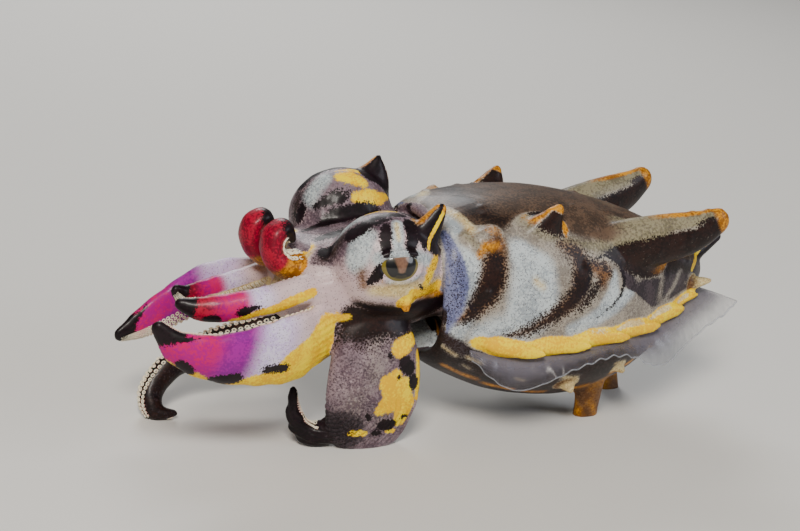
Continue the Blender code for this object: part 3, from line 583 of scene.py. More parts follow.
# the skin unrolled flat; the right side's outlines wander further, so that it is no plain mirror image
unrolled = np.column_stack([xs, angleOf * degreeLong]) + wander * np.where(right, 1.6, 0.6)[:, None]

limbs = {name: limbCoords(body, arm) for name, arm in arms.items()}
names = list(arms)
rhos = np.array([limbs[name]["rho"] for name in names])
owner = np.argmin(rhos, axis=0)
pairOf = np.array([arms[name]["pair"] for name in names])[owner]
armShare = ramp(-np.min(rhos, axis=0), -1.45, -1.12)
armShare *= np.where(pairOf < 4, ramp(-xs, 45.0, 47.0), ramp(-body[:, 2], -30.5, -26.5))
rows = np.arange(len(body))
at = {key: np.array([limbs[name][key] for name in names])[owner, rows]
      for key in ("t", "u", "v", "half", "deep")}
oralSide = at["v"] * np.array([arms[name]["oral"] for name in names])[owner] / at["deep"]
onArm = {pair: armShare * (pairOf == pair) for pair in (1, 2, 3, 4, 5, 6)}
headPart = (xs < collarX - 1.0) | ((xs < collarX + 3.5) & (np.hypot(body[:, 1], body[:, 2] - 32) < 15.2))
mantlePart = (~headPart).astype(float)
headShare = headPart * (1 - armShare)
higher = ((head["bulgeAt"][1][2] - head["bulgeAt"][-1][2])
          * ramp(np.abs(body[:, 1]), 3.0, 9.0) * right * headPart)
mirror = np.column_stack([xs, np.abs(body[:, 1]), body[:, 2] - higher])
mirror += np.column_stack([wander, wander[:, 0]]) * 0.8
print("skin measured")

# living skin of a cuttlefish: elastic pigment sacs over white reflecting cells, wet and soft,
# so colour comes in fine dots that crowd together into patches, under a smooth gloss
skinPaint = {
    # field, colour, second colour, softness of the edge, how much the dots and the noise break it;
    # a later field covers the earlier ones
    "order": (
        ("stone", "#9A9286", "#7C746A", 0.30, 0.0, 0.20),
        ("mauve", "#806E76", "#5C4A54", 0.30, 0.25, 0.35),
        ("lavender", "#C3AEDA", "#D6CCE4", 0.40, 0.0, 0.10),
        ("blueWhite", "#BCC4C6", "#959DA2", 0.30, 0.12, 0.30),
        ("cream", "#DECC98", "#C8AE78", 0.34, 0.06, 0.30),
        ("olive", "#8A8268", "#67604B", 0.34, 0.10, 0.30),
        ("saddle", "#5E4A3B", "#42352C", 0.34, 0.10, 0.35),
        ("slate", "#3E3439", "#272025", 0.30, 0.30, 0.35),
        ("tan", "#74502F", "#56371E", 0.36, 0.25, 0.30),
        ("purple", "#98188C", "#7E1480", 0.40, 0.04, 0.15),
        ("magenta", "#C2005E", "#A40078", 0.40, 0.04, 0.20),
        ("crimson", "#A80A30", "#700420", 0.40, 0.05, 0.20),
        ("umber", "#281710", "#170D0A", 0.34, 0.25, 0.35),
        ("violet", "#757A9E", "#585C80", 0.24, 0.20, 0.25),
        ("brown", "#26130E", "#160A08", 0.16, 0.85, 0.24),
        ("yellow", "#F8D600", "#E8B200", 0.12, 0.20, 0.50),
        ("gold", "#CC8A12", "#8A5408", 0.24, 0.25, 0.40),
        ("dark", "#0D0508", "#190B12", 0.12, 0.50, 0.40),
        ("shade", "#0E0A0B", "#080506", 0.30, 0.0, 0.0)),
    "ground": ("#D6C2C0", "#B89CA2"),
    "dotSize": 0.38,   # pigment sacs are about 0.1 to 0.3 mm; drawn at 0.38 so that they show
    "freckle": "#54444E", "freckleAt": 6,   # freckles lie over the pale colours and under the strong ones
    "roughness": (0.38, 0.56), "grain": 0.05,
    "surface": {"IOR": 1.38, "Subsurface Weight": 0.08, "Subsurface Radius": (1.0, 0.45, 0.35),
                "Subsurface Scale": 1.2 * mm, "Specular IOR Level": 0.3,
                "Coat Weight": 0.10, "Coat Roughness": 0.16},
}
fields = {row[0]: np.zeros(len(body)) for row in skinPaint["order"]}


def paint(name, amount):
    fields[name] = np.maximum(fields[name], amount)


def wipe(amount, *cleared):
    for name in cleared:
        fields[name] = fields[name] * (1 - np.clip(amount, 0, 1))


def bodyStroke(spots, radii, edge):
    # spots are x in mm and degrees round from the top of the back
    return stroke(unrolled, [(x, angle * degreeLong) for x, angle in spots], radii, edge)


def onLimb(name, pair, spots, radii, edge, oral=None):
    # spots are t along the arm and mm across it, up positive; oral -1 keeps them to the outer face
    share = onArm[pair] if oral is None else onArm[pair] * ramp(oralSide * oral, -0.3, 0.3)
    long = next(limbs[n]["length"] for n in names if arms[n]["pair"] == pair)
    paint(name, share * stroke(np.column_stack([at["t"] * long, at["u"]]) + wander * 0.8,
                               [(t * long, u) for t, u in spots], radii, edge))


# mantle markings: grey ground, pale stippled flanks, brown bands and saddle, dark rear and belly sides
paint("stone", mantlePart)
saddleEdge = cubicAt([-34, -29, -27, -24, -19, -8, 0, 12, 24, 38],
                     [4, 14, 30, 37, 34, 38, 41, 40, 46, 80], xs)
saddleShare = mantlePart * ramp((saddleEdge + wander[:, 0] * 6 - angleOf) * degreeLong, -1.4, 1.4)
paint("saddle", saddleShare)
paint("umber", saddleShare * (0.30 + 0.22 * noise(7.0, 19)))
slateFrom = cubicAt([44, 50, 60, 66, 70, 76, 84], [0.5, 4.5, 6.8, 8.0, 10.5, 13.0, 16.0], angleOf)
paint("slate", mantlePart * ramp(unrolled[:, 0] - slateFrom, -0.9, 0.9)
      * ramp(angleOf, 42, 47) * ramp(-angleOf, -90, -82))
paint("brown", 0.26 * mantlePart * ramp(angleOf, 34, 44))
bandPath = ((-22.8, 43), (-23.8, 51), (-24.6, 60), (-26.0, 70), (-28.8, 81), (-31.6, 90))
arcPath = ((-9.0, 41), (-5.0, 46), (-3.6, 54), (-4.6, 63), (-7.2, 71), (-11.6, 80), (-16.8, 87), (-22.4, 94))
for name, spots, radii, edge in (
        ("blueWhite", ((-30.4, 24), (-29.8, 40), (-29.4, 58), (-30.0, 78), (-32.0, 98)),
         (1.6, 2.4, 2.6, 2.8, 2.4), 2.0),
        ("blueWhite", ((-17.5, 46), (-15.4, 58), (-15.5, 72), (-19.0, 86), (-27.0, 96)),
         (3.2, 5.2, 5.6, 3.4, 2.2), 2.4),
        ("blueWhite", ((9.0, 69), (4.8, 76), (0.0, 82), (-6.0, 87)), (1.2, 1.9, 1.9, 1.2), 1.4),
        ("blueWhite", ((4.6, 58), (4.4, 68), (2.0, 76)), (0.8, 1.5, 1.6), 1.2),
        ("cream", ((-15.1, 59), (-13.6, 62)), 0.4, 1.6),
        ("cream", ((-30.5, 16), (-28.4, 26), (-27.6, 34)), (0.8, 1.0, 0.8), 1.6),
        ("olive", ((-8.0, 40), (0.0, 42.5), (8.0, 41.5), (16.0, 41)), (0.6, 1.1, 1.4, 1.5), 1.2),
        ("umber", ((-26.0, 6), (-25.0, 20), (-21.5, 29), (-15.0, 30)), (3.2, 3.0, 2.0, 1.2), 3.6),
        ("tan", bandPath, (2.0, 2.5, 2.7, 2.4, 1.7, 0.8), 1.6),
        ("brown", bandPath, (1.0, 2.5, 3.0, 2.7, 2.0, 1.0), 2.2),
        ("umber", ((-24.0, 54), (-25.2, 64), (-27.0, 74)), (1.4, 1.6, 1.0), 1.6),
        ("dark", ((-29.6, 77), (-28.4, 80)), 0.6, 1.2),
        ("gold", ((-27.4, 50), (-26.0, 45), (-22.6, 43)), (0.3, 0.7, 0.6), 1.2),
        ("tan", arcPath, (0.5, 1.5, 2.1, 2.0, 1.6, 1.2, 0.8, 0.2), 1.6),
        ("brown", arcPath, (0.5, 1.8, 2.5, 2.4, 2.0, 1.6, 1.1, 0.5), 2.4),
        ("umber", ((-5.6, 46), (-2.6, 53), (-2.6, 60), (-5.4, 69), (-10.0, 79)),
         (0.4, 1.0, 1.2, 1.1, 0.6), 1.2),
        ("dark", ((-3.4, 49), (-1.6, 56), (-3.2, 65), (-7.0, 73)), (0.2, 0.5, 0.5, 0.1), 0.8),
        ("tan", ((-0.8, 53), (2.0, 56), (1.4, 61)), (1.2, 1.7, 1.2), 1.4),
        ("brown", ((-2.2, 51), (1.4, 52), (3.6, 57)), (0.6, 0.9, 0.6), 1.4),
        ("brown", ((0.8, 60), (-1.6, 67), (-4.6, 75)), (1.0, 1.4, 0.9), 1.8),
        ("dark", ((-3.2, 51), (2.2, 47), (6.0, 51), (7.4, 61), (6.4, 70), (3.8, 76), (-0.6, 84)),
         (0.1, 0.4, 0.5, 0.5, 0.4, 0.3, 0.0), 0.7),
        ("umber", ((8, 47), (16, 50), (24, 53), (31, 58)), (1.2, 2.0, 2.2, 1.8), 2.0)):
    paint(name, mantlePart * bodyStroke(spots, radii, edge))
# pale streaks down the dark rear flank
for spots, radii in ((((17.4, 50), (19.2, 64), (18.6, 80)), 0.7), (((26.0, 58), (23.6, 74), (20.0, 86)), 0.7),
                     (((12.4, 52), (11.4, 62)), 0.4), (((31.0, 62), (28.6, 76)), 0.4)):
    pale = mantlePart * bodyStroke(spots, radii, 1.3)
    wipe(pale * 0.85, "slate")
    wipe(pale, "umber")
darkFlank = ramp((angleOf - cubicAt([-34, -26, -10, 10, 36], [100, 105, 108, 108, 112], xs)) * degreeLong
                 + wander[:, 0] * 1.2, -1.8, 1.2) * mantlePart
paint("slate", darkFlank)
paint("brown", (0.62 + 0.25 * noise(5.0, 25)) * darkFlank)
paint("umber", 0.7 * darkFlank * ramp((angleOf - 112) * degreeLong + wander[:, 1] * 3, -1.6, 1.8))
# small cream spots along the lower flank, golden dashes on the belly
for x, angle, long, radius in (
        (-31.6, 113, 1.4, 0.6), (-26.0, 113, 1.6, 0.7), (-20.5, 111, 1.0, 0.5), (-27.0, 122, 0.8, 0.4),
        (-15.0, 121, 1.2, 0.5), (-3.0, 122, 1.6, 0.8), (10.0, 123, 1.2, 0.7), (21.0, 122, 1.0, 0.6)):
    spot = mantlePart * 0.8 * bodyStroke(((x - long, angle), (x + long, angle + 2)), radius, 1.1)
    wipe(spot, "brown", "umber", "slate")
    paint("cream", spot)
for x, angle, long in (
        (-27, 134, 3.4), (-18, 137, 3.0), (-9, 141, 2.0), (1, 139, 2.4), (12, 133, 2.6), (22, 128, 1.6)):
    spot = mantlePart * bodyStroke(((x - long, angle), (x + long, angle + 1)), 0.9, 1.5)
    wipe(spot * 0.7, "brown")
    paint("gold", spot)
paint("tan", mantlePart * ramp(angleOf, 148, 166) * 0.7)
# violet collar behind the head, and painted shade in the pocket inside it
collar = mantlePart * bodyStroke(((-33.0, 34), (-31.9, 52), (-31.5, 66), (-32.4, 82), (-33.6, 98)),
                                 (0.8, 1.6, 2.0, 1.8, 1.0), 1.0)
wipe(collar, "brown")
paint("violet", collar)
paint("brown", 0.46 * collar)
inPocket = ((xs > -34.6) & (xs < -28.8) & (body[:, 2] < 24.2)
            & (np.hypot(body[:, 1] / 16.4, (body[:, 2] - 29) / 12.9) < 1))
# painted shade: the hollow inside the mantle's rim is painted near black
paint("shade", inPocket)

# ridge: each lobe bright yellow, cream above towards the tail, with a golden rim where it overlaps the next
ridgeGap = np.full(len(body), 1e9)
ridgeRim, ridgeTop = np.zeros(len(body)), np.zeros(len(body))
for side in (-1, 1):
    for start, end in ridge["lobes"]:
        lobe = limbCoords(body, ridgeLobe(start, end, side), 30)
        ridgeGap = np.minimum(ridgeGap, (lobe["rho"] - 1) * lobe["half"])
        onLobe = ramp(-lobe["rho"], -1.25, -1.0)
        ridgeRim = np.maximum(ridgeRim, onLobe * ramp(lobe["t"], 0.93, 1.02))
        lobeTop = ramp(lobe["u"] / lobe["half"], 0.35, 0.9) * ramp(-lobe["t"], -0.8, -0.4)
        ridgeTop = np.maximum(ridgeTop, onLobe * lobeTop)
onRidge = mantlePart * np.clip(0.5 + (0.45 - ridgeGap) / 0.9, 0, 1)
wipe(onRidge, "brown", "slate", "umber")
paint("cream", onRidge)
paint("yellow", onRidge * (1 - 0.75 * ridgeTop * ramp(xs, -14, 10)))
paint("gold", mantlePart * ridgeRim * 0.7)


def onHorn(horn, rimWidth, darkFrom, keel=False, goldShare=1.0):
    # golden rim and tip round a brown face; a keel is olive above and brown below from its base on
    spot = limbCoords(body, horn, 40)
    t, edgeUp = spot["t"], spot["u"] / spot["half"]
    on = ramp(-spot["rho"], -1.5, -1.15) * ramp(t, 0.0, 0.2)
    rim = on * np.maximum(ramp(np.abs(edgeUp), 1 - rimWidth, 1.0) * ramp(t, 0.3, 0.7), ramp(t, 0.9, 1.0))
    wipe(on * ramp(t, 0.15, 0.45), "saddle", "blueWhite", "yellow", "umber", "slate")
    paint("olive", on * (ramp(edgeUp, 0.3, 0.65) if keel else ramp(-t, -0.8, -0.3) * ramp(t, 0.25, 0.55)))
    face = ramp(t, darkFrom, darkFrom + 0.3) * (1 - 0.8 * rim)
    if keel:
        face = np.maximum(face * ramp(-np.abs(edgeUp), -0.85, -0.55), ramp(-edgeUp, -0.62, -0.25))
    paint("brown", on * face)
    paint("umber", on * face * ramp(t, darkFrom, darkFrom + 0.5) * (1 - rim))
    paint("gold", rim * goldShare)
    return spot, on


for side in (-1, 1):
    onHorn(mirrored(horns["shoulder"], side), 0.1, 1.4, goldShare=0.5)
    onHorn(mirrored(horns["back"], side), 0.3, 0.35)
    onHorn(mirrored(horns["rear"], side), 0.2, 0.62, keel=True)
    for name in ("flankA", "flankB", "flankC", "rump"):
        spot = limbCoords(body, mirrored(horns[name], side), 20)
        on = ramp(-spot["rho"], -1.35, -1.0) * ramp(spot["t"], 0.1, 0.4)
        wipe(on, "brown", "slate", "umber")
        paint("tan", on * ramp(-spot["t"], -0.8, -0.3))
        paint("cream", on)
spot, on = onHorn(tailHorn, 0.1, 0.0)
paint("dark", on)
streak = mantlePart * stroke(body[:, [0, 2]], ((31.4, 31.6), (33.6, 33.4), (36.4, 35.2)),
                             (0.6, 0.7, 0.3), 0.5)
streak *= ramp(np.abs(body[:, 1]), 0.6, 1.2)
wipe(streak, "dark")
paint("yellow", streak)

# head markings: pale stippled domes, dark columns by the eyes, dark and yellow bands over the top
topShare = headShare * ramp(-angleOf - wander[:, 0] * 12, -74, -44)
paint("brown", headShare * (0.20 + 0.10 * noise(5.0, 8)))
paint("mauve", headShare * (0.30 + 0.36 * noise(7.0, 6)))
paint("mauve", topShare * (0.8 + 0.3 * noise(5.0, 7)))
paint("slate", topShare * (0.24 + 0.24 * noise(4.0, 26)))
# places are on the left side; the right side has them mirrored, its eye bulge being higher
for name, spots, radii, edge in (
        # pale dome before the eye, rim of the dome, cream stripe between the columns, cheek
        ("blueWhite", ((-54.2, 17.0, 41.8), (-53.4, 16.4, 44.8), (-51.6, 15.8, 46.8)), (2.2, 2.6, 1.8), 1.6),
        ("blueWhite", ((-54.5, 8.6, 45.0), (-51.5, 9.6, 48.0)), (1.8, 1.8), 1.6),
        ("blueWhite", ((-45.4, 15.8, 48.6), (-46.2, 18.4, 46.6), (-46.4, 20.0, 45.0)), (1.3, 1.4, 1.2), 0.7),
        ("blueWhite", ((-50.8, 19.4, 43.0), (-47.4, 20.8, 44.2), (-42.4, 20.6, 43.6), (-39.4, 18.6, 42.0)),
         (1.6, 1.8, 1.8, 1.4), 1.6),
        ("brown", ((-57.0, 1.5, 41.5), (-51.0, 1.5, 43.8), (-44.0, 1.5, 45.0)), (0.4, 0.6, 0.4), 3.0),
        ("blueWhite", ((-48.6, 21.0, 38.6), (-44.0, 22.0, 38.2), (-40.4, 20.4, 39.4)), (0.9, 1.0, 0.7), 1.0),
        ("cream", ((-45.6, 15.8, 48.7), (-45.9, 18.4, 46.8)), 0.5, 0.8),
        ("cream", ((-50.5, 19.0, 36.4), (-46.5, 20.4, 36.6), (-42.0, 19.6, 36.2), (-36.0, 15.8, 35.4)),
         (1.2, 2.0, 2.4, 2.0), 1.6),
        ("tan", ((-53.2, 18.2, 40.0), (-52.4, 18.4, 37.6)), (0.9, 1.0), 1.8),
        ("tan", ((-58.0, 10.0, 36.0), (-53.5, 14.5, 38.5)), (1.0, 0.8), 2.4),
        ("yellow", ((-42.6, 19.6, 35.6), (-39.3, 18.0, 35.2), (-35.0, 15.0, 35.0)), (1.1, 1.6, 1.4), 1.7),
        ("gold", ((-42.0, 19.0, 34.2), (-38.6, 17.2, 33.8), (-34.6, 14.8, 33.6)), (0.5, 0.7, 0.8), 1.6),
        ("yellow", ((-36.4, 15.6, 43.6), (-37.2, 17.0, 41.6), (-38.6, 18.6, 39.6), (-39.4, 18.8, 37.4)),
         (0.9, 1.4, 1.5, 1.3), 1.7),
        ("yellow", ((-50.2, 20.4, 39.0), (-49.6, 20.2, 37.6)), 0.5, 1.1),
        # far side's dome: yellow patches and dark rims, mirrored on both
        ("yellow", ((-48.4, 8.8, 49.0), (-45.7, 8.2, 49.2), (-43.6, 7.4, 48.4)), (1.2, 1.7, 1.4), 1.5),
        ("yellow", ((-48.4, 10.8, 49.2), (-44.6, 10.6, 49.4), (-40.6, 9.6, 47.8)), (0.4, 0.9, 0.5), 1.0),
        ("yellow", ((-45.8, 5.4, 47.2), (-42.6, 5.4, 47.1), (-39.6, 6.6, 45.6), (-36.6, 8.6, 44.4)),
         (1.3, 1.5, 1.1, 0.4), 0.9),
        ("yellow", ((-44.0, 1.6, 45.4), (-40.0, 1.2, 45.2), (-35.2, 0.6, 45.0)), (0.4, 1.2, 0.9), 0.9),
        ("dark", ((-54.0, 12.8, 46.8), (-51.5, 12.8, 48.4), (-48.0, 12.9, 49.3), (-43.6, 12.8, 49.4)),
         (0.5, 0.8, 0.9, 1.0), 0.8),
        ("dark", ((-54.4, 6.8, 44.2), (-51.7, 5.9, 46.3), (-49.0, 5.8, 47.2), (-46.9, 6.2, 47.6)),
         (0.5, 1.0, 1.5, 1.1), 0.9),
        ("dark", ((-41.4, 10.6, 48.4), (-38.4, 11.2, 47.2), (-35.6, 10.6, 45.0)), (2.2, 2.6, 1.8), 0.7),
        # bands over the top of the head
        ("dark", ((-58.4, 3.0, 40.8), (-54.0, 3.4, 43.2), (-51.4, 3.2, 44.4), (-48.4, 3.2, 45.2),
                  (-44.6, 3.4, 45.8), (-40.6, 3.6, 46.0), (-34.4, 4.0, 45.2)),
         (1.0, 1.5, 1.9, 1.9, 1.7, 1.5, 1.6), 1.1),
        ("dark", ((-54.9, 12.3, 44.9), (-53.9, 13.2, 46.0), (-52.1, 13.8, 47.3), (-50.0, 14.0, 48.4),
                  (-46.8, 14.2, 49.2)),
         (0.8, 1.9, 1.6, 1.1, 0.6), 1.0),
        ("dark", ((-58.2, 8.2, 39.4), (-57.2, 8.4, 41.1), (-56.0, 8.6, 42.6), (-55.4, 10.2, 43.8)),
         (0.8, 1.6, 1.1, 0.5), 1.0),
        ("umber", ((-58.6, 9.0, 39.0), (-55.4, 11.4, 43.8), (-51.0, 13.6, 47.6)), (1.4, 1.8, 1.4), 2.4),
        # columns above the eye, patch before it and small marks below it
        ("dark", ((-47.8, 15.8, 48.4), (-48.4, 17.4, 46.8), (-49.4, 19.8, 44.6), (-49.6, 21.0, 43.2)),
         (1.1, 1.4, 1.3, 0.7), 0.9),
        ("dark", ((-42.6, 15.6, 48.8), (-42.6, 17.6, 46.6), (-43.6, 20.0, 44.9), (-43.2, 21.6, 43.8)),
         (1.6, 1.6, 1.4, 0.9), 0.9),
        ("dark", ((-47.0, 21.0, 44.8), (-45.6, 21.6, 44.6)), 0.35, 0.7),
        ("dark", ((-40.6, 16.4, 47.4), (-40.0, 18.6, 44.4)), (1.4, 0.6), 1.0),
        ("dark", ((-50.2, 20.3, 41.3), (-51.0, 20.2, 40.0), (-51.4, 19.1, 38.4)), (1.3, 1.5, 1.0), 0.9),
        ("dark", ((-47.7, 21.4, 38.2), (-46.4, 21.6, 37.0)), 0.34, 0.6),
        ("dark", ((-42.4, 21.4, 38.4), (-39.8, 18.5, 36.0)), 0.38, 0.6),
        ("dark", ((-37.6, 17.2, 41.0), (-36.6, 16.4, 39.0)), 0.3, 1.0),
        # dark zone under the cheek and under the head down to the leg: partly brown skin, partly painted
        # shade under the head
        ("umber", ((-52.4, 16.0, 32.4), (-48.2, 16.8, 31.6), (-43.9, 16.8, 31.2), (-34.4, 14.6, 31.4)),
         (1.6, 2.4, 2.6, 2.8), 1.8),
        ("brown", ((-54.0, 15.0, 30.0), (-50.0, 15.6, 30.0), (-44.0, 16.0, 29.6), (-36.0, 15.0, 29.0)),
         (1.8, 2.6, 2.8, 3.0), 2.0),
        ("dark", ((-51.0, 16.4, 32.2), (-47.0, 16.8, 31.4), (-43.5, 16.8, 31.4), (-38.0, 15.4, 31.2),
                  (-34.0, 14.4, 31.2)),
         (0.8, 1.3, 1.1, 1.6, 1.8), 1.3),
        ("umber", ((-50.0, 11.0, 24.6), (-42.0, 11.0, 24.0), (-35.0, 11.0, 25.0)), (3.4, 4.4, 4.4), 2.0),
        ("yellow", ((-54.6, 13.9, 28.4), (-58.6, 14.6, 26.8), (-62.0, 16.2, 25.6)), (1.8, 4.4, 4.6), 1.2)):
    paint(name, headShare * stroke(mirror, spots, radii, edge))
paint("brown", headShare * bodyStroke(((-34.0, 46), (-33.6, 66), (-34.0, 88)), 0.7, 1.3))
# dark top of the walking leg, partly painted shade under the head, and dark specks scattered over the yellow
# rear cheek
legTop = np.clip(headShare + onArm[4], 0, 1)
for name, share, spots, radius, edge in (
        ("umber", legTop,
         ((-53.4, 14.8, 29.6), (-48.8, 15.4, 28.4), (-43.0, 15.8, 27.8), (-38.0, 14.6, 28.4)), 2.6, 1.4),
        ("brown", legTop, ((-54.0, 14.4, 28.4), (-48.8, 15.2, 27.4), (-42.0, 15.6, 26.8)), 2.6, 1.8),
        ("dark", headShare * 0.42,
         ((-36.2, 15.8, 43.4), (-37.4, 17.4, 41.2), (-38.6, 18.4, 39.0), (-37.0, 16.8, 36.6)), 2.2, 0.8),
        ("dark", headShare * 0.40,
         ((-43.0, 18.6, 36.2), (-39.6, 18.4, 36.0), (-36.6, 16.6, 34.8)), 1.6, 0.8)):
    paint(name, share * stroke(mirror, spots, radius, edge))

# pinkish cream lip with a dark brown beak in its opening
lipGap = np.hypot(body[:, 1] - mouth["at"][1], body[:, 2] - mouth["at"][2])
onLip = ramp(-lipGap, -5.6, -4.6) * (xs < mouth["at"][0] - 0.4) * (1 - armShare)
wipe(onLip, "mauve", "brown", "yellow", "gold")
paint("cream", onLip * (0.5 + 0.3 * noise(3.0, 33)))
paint("dark", onLip * ramp(-lipGap, -2.3, -1.7))

for side in (-1, 1):
    spot, on = onHorn(mirrored(eyeHorn[side], side), 0.34, -0.2)
    on = on * headShare
    paint("dark", on * ramp(-np.abs(spot["u"]) / spot["half"], -0.92, -0.62))
    # a yellow line runs slanting up the outer face
    line = on * ramp(-np.abs(spot["u"] + 1.2 * ramp(-spot["t"], -0.9, 0.0) - 0.3) / 0.62, -1.0, -0.5)
    line *= ramp(spot["v"] * side, -0.2, 0.3)
    wipe(line, "dark")
    paint("yellow", line)
    cheek = limbCoords(body, mirrored(cheekHorn, side), 20)
    on = headShare * ramp(-cheek["rho"], -1.5, -1.0) * ramp(cheek["t"], -0.1, 0.2)
    wipe(on, "brown", "dark", "umber")
    paint("yellow", on)
    paint("gold", on * ramp(cheek["t"], 0.35, 1.0) * 0.8)

# arms: pale roots, hot magenta lengths and black tips
# walking leg: mauve and dotted, dark shoulder; black toe, and painted shade, blue black, round the toe's root
# where it leaves the leg
t, edgeUp = at["t"], at["u"] / at["half"]
lean = t + 0.04 * edgeUp
legs = np.maximum(onArm[4], onArm[5])
shoulder = onArm[4] * ramp(-t + 0.05 * noise(5.0, 16), -0.38, -0.22)
# painted shade: blue black round the root of the toe, low by the floor
toeRootShade = legs * ramp(-np.linalg.norm(body - (-53.4, -12.4, 5.2), axis=1), -8.0, -4.0)
for share, name, amount in (
        (onArm[3], "lavender", ramp(lean, 0.1, 0.42)),
        (onArm[3], "purple", ramp(lean, 0.36, 0.54) * ramp(-lean, -0.86, -0.7)),
        (onArm[3], "magenta", ramp(lean, 0.50, 0.72)),
        (onArm[3], "dark", np.clip(0.5 + (lean - 0.865) * 12 + np.maximum(edgeUp, 0) * 0.1, 0, 1)),
        (onArm[2], "lavender", ramp(t, 0.25, 0.5)),
        (onArm[2], "magenta", ramp(t, 0.42, 0.58)),
        (onArm[2], "crimson", ramp(t, 0.55, 0.8) * 0.85),
        (onArm[2], "dark", np.clip(0.5 + (t - 0.84) * 10, 0, 1)),
        (onArm[1], "gold", ramp(t, 0.08, 0.2) * ramp(-t, -0.46, -0.3)),
        (onArm[1], "crimson", ramp(t, 0.24, 0.4)),
        (onArm[1], "dark", ramp(t, 0.5, 0.7)
         * np.clip(0.5 + (t - 0.80) * 7 + 0.3 * ramp(np.abs(edgeUp), 0.5, 1.0), 0, 1)),
        (legs, "mauve", 0.72 + 0.3 * noise(6.0, 11)),
        (legs, "stone", 0.5 + 0.5 * noise(8.0, 18)),
        (legs, "slate", 0.26 + 0.34 * noise(5.0, 14)),
        (legs, "brown", 0.25 + 0.14 * noise(5.0, 10)),
        (shoulder, "umber", 0.62 + 0.35 * noise(3.5, 13)),
        (shoulder, "brown", 0.62),
        (toeRootShade, "slate", 1.0),
        (toeRootShade, "dark", 0.5),
        (onArm[5], "dark", ramp(t, -0.05, 0.25)),
        (onArm[5], "brown", 0.7),
        (onArm[6], "slate", 1.0),
        (onArm[6], "brown", 0.8),
        (onArm[6], "dark", 0.42 + 0.35 * noise(2.6, 9))):
    paint(name, share * amount)
# cream among the suckers of the upper arms
cupLow, cupHigh = np.array([arms[name].get("cups", (-0.86, 0.86)) for name in names])[owner].T
inBand = ramp(edgeUp, cupLow - 0.16, cupLow) * ramp(-edgeUp, -cupHigh - 0.16, -cupHigh)
inBand *= onArm[1] + onArm[2] + onArm[3]
wipe(inBand * ramp(oralSide, 0.1, 0.5) * ramp(-t, -0.8, -0.6), "magenta")
paint("cream", inBand * ramp(oralSide, 0.0, 0.5) * ramp(-t, -0.84, -0.66))
# yellow along the outer lower edges and on the leg's rear half, broken by black blotches
for name, pair, spots, radii, edge, face in (
        ("yellow", 3,
         ((0.82, -3.4), (0.67, -3.9), (0.55, -5.2), (0.44, -4.8), (0.33, -4.6), (0.21, -2.8), (0.0, -0.4)),
         (0.3, 1.1, 0.6, 2.0, 2.9, 4.8, 5.8), 1.1, -1),
        ("dark", 3, ((0.76, -2.6), (0.72, -3.2)), 1.3, 0.8, -1),
        ("dark", 3, ((0.585, -4.0), (0.52, -3.4)), 1.5, 0.9, -1),
        ("dark", 3, ((0.385, -1.8), (0.30, -2.2)), 1.2, 1.1, -1),
        ("dark", 3, ((0.94, 1.0), (0.8, 2.9), (0.72, 3.8)), (0.9, 0.5, 0.1), 0.6, None),
        ("yellow", 2, ((0.62, -2.4), (0.42, -1.9), (0.28, -1.2), (0.12, -0.6)),
         (0.4, 0.9, 1.2, 1.1), 0.7, -1),
        ("dark", 2, ((0.76, -1.9), (0.70, -1.9)), 0.9, 0.7, -1),
        ("dark", 2, ((0.55, -0.9), (0.47, -0.8)), (1.1, 0.6), 0.8, -1),
        ("yellow", 1, ((0.0, 0), (0.14, 0)), (3.2, 2.4), 1.2, None),
        ("yellow", 4, ((0.27, 7.2), (0.31, 4.6)), (1.5, 2.0), 1.2, None),
        ("yellow", 4, ((0.45, 3.6), (0.49, 1.2), (0.56, 4.6), (0.63, 1.0)), (1.1, 1.2, 3.2, 1.2), 1.1, None),
        ("yellow", 4, ((0.62, 6.4), (0.72, 5.6)), (2.2, 1.6), 1.0, None),
        ("yellow", 4, ((0.775, -4.6), (0.78, -2.2)), 0.9, 0.7, None),
        ("yellow", 4, ((0.79, 3.2), (0.8, 4.4)), 0.6, 0.6, None),
        ("yellow", 4, ((0.36, 9.0), (0.6, 9.4)), 0.7, 0.9, None),
        ("dark", 4, ((0.40, 5.4), (0.43, 6.6)), 1.5, 0.7, None),
        ("dark", 4, ((0.5, 7.6), (0.52, 8.2)), 1.2, 0.7, None),
        ("dark", 4, ((0.68, -1.2), (0.66, -1.8)), 0.7, 0.7, None),
        ("dark", 4, ((0.735, 2.0), (0.745, 3.6)), 1.5, 0.7, None),
        ("dark", 4, ((0.70, 6.2), (0.7, 6.8)), 0.6, 0.7, None),
        ("dark", 4, ((0.34, 2.2), (0.35, 2.4)), 0.5, 0.7, None),
        ("dark", 4, ((0.79, 0.2), (0.8, 1.2)), 0.8, 0.7, None),
        ("dark", 4, ((0.46, 4.0), (0.47, 4.2)), 0.4, 0.7, None),
        ("dark", 4, ((0.02, -4.0), (0.10, 2.0), (0.20, 6.0)), (2.0, 2.6, 1.6), 2.0, None)):
    onLimb(name, pair, spots, radii, edge, face)

# belly flaps that it walks on are amber brown, and the funnel is pale blue
for flap in flaps:
    spot = limbCoords(body, flap, 30)
    on = mantlePart * ramp(-spot["rho"], -1.5, -1.1)
    wipe(on, "brown", "saddle", "blueWhite", "tan", "slate", "umber")
    paint("tan", on)
    paint("gold", on * (0.44 + 0.3 * noise(2.0, 12)))
    paint("brown", on * 0.36)
spout = limbCoords(body, funnel, 30)
on = ramp(-spout["rho"], -1.3, -1.1) * ((xs < collarX - 1.0) | inPocket) * (1 - armShare)
wipe(on, "brown", "dark", "cream", "mauve", "umber", "shade")
paint("blueWhite", on)
for name, values in fields.items():
    setField(skin.data, name, values)
print("skin marked")

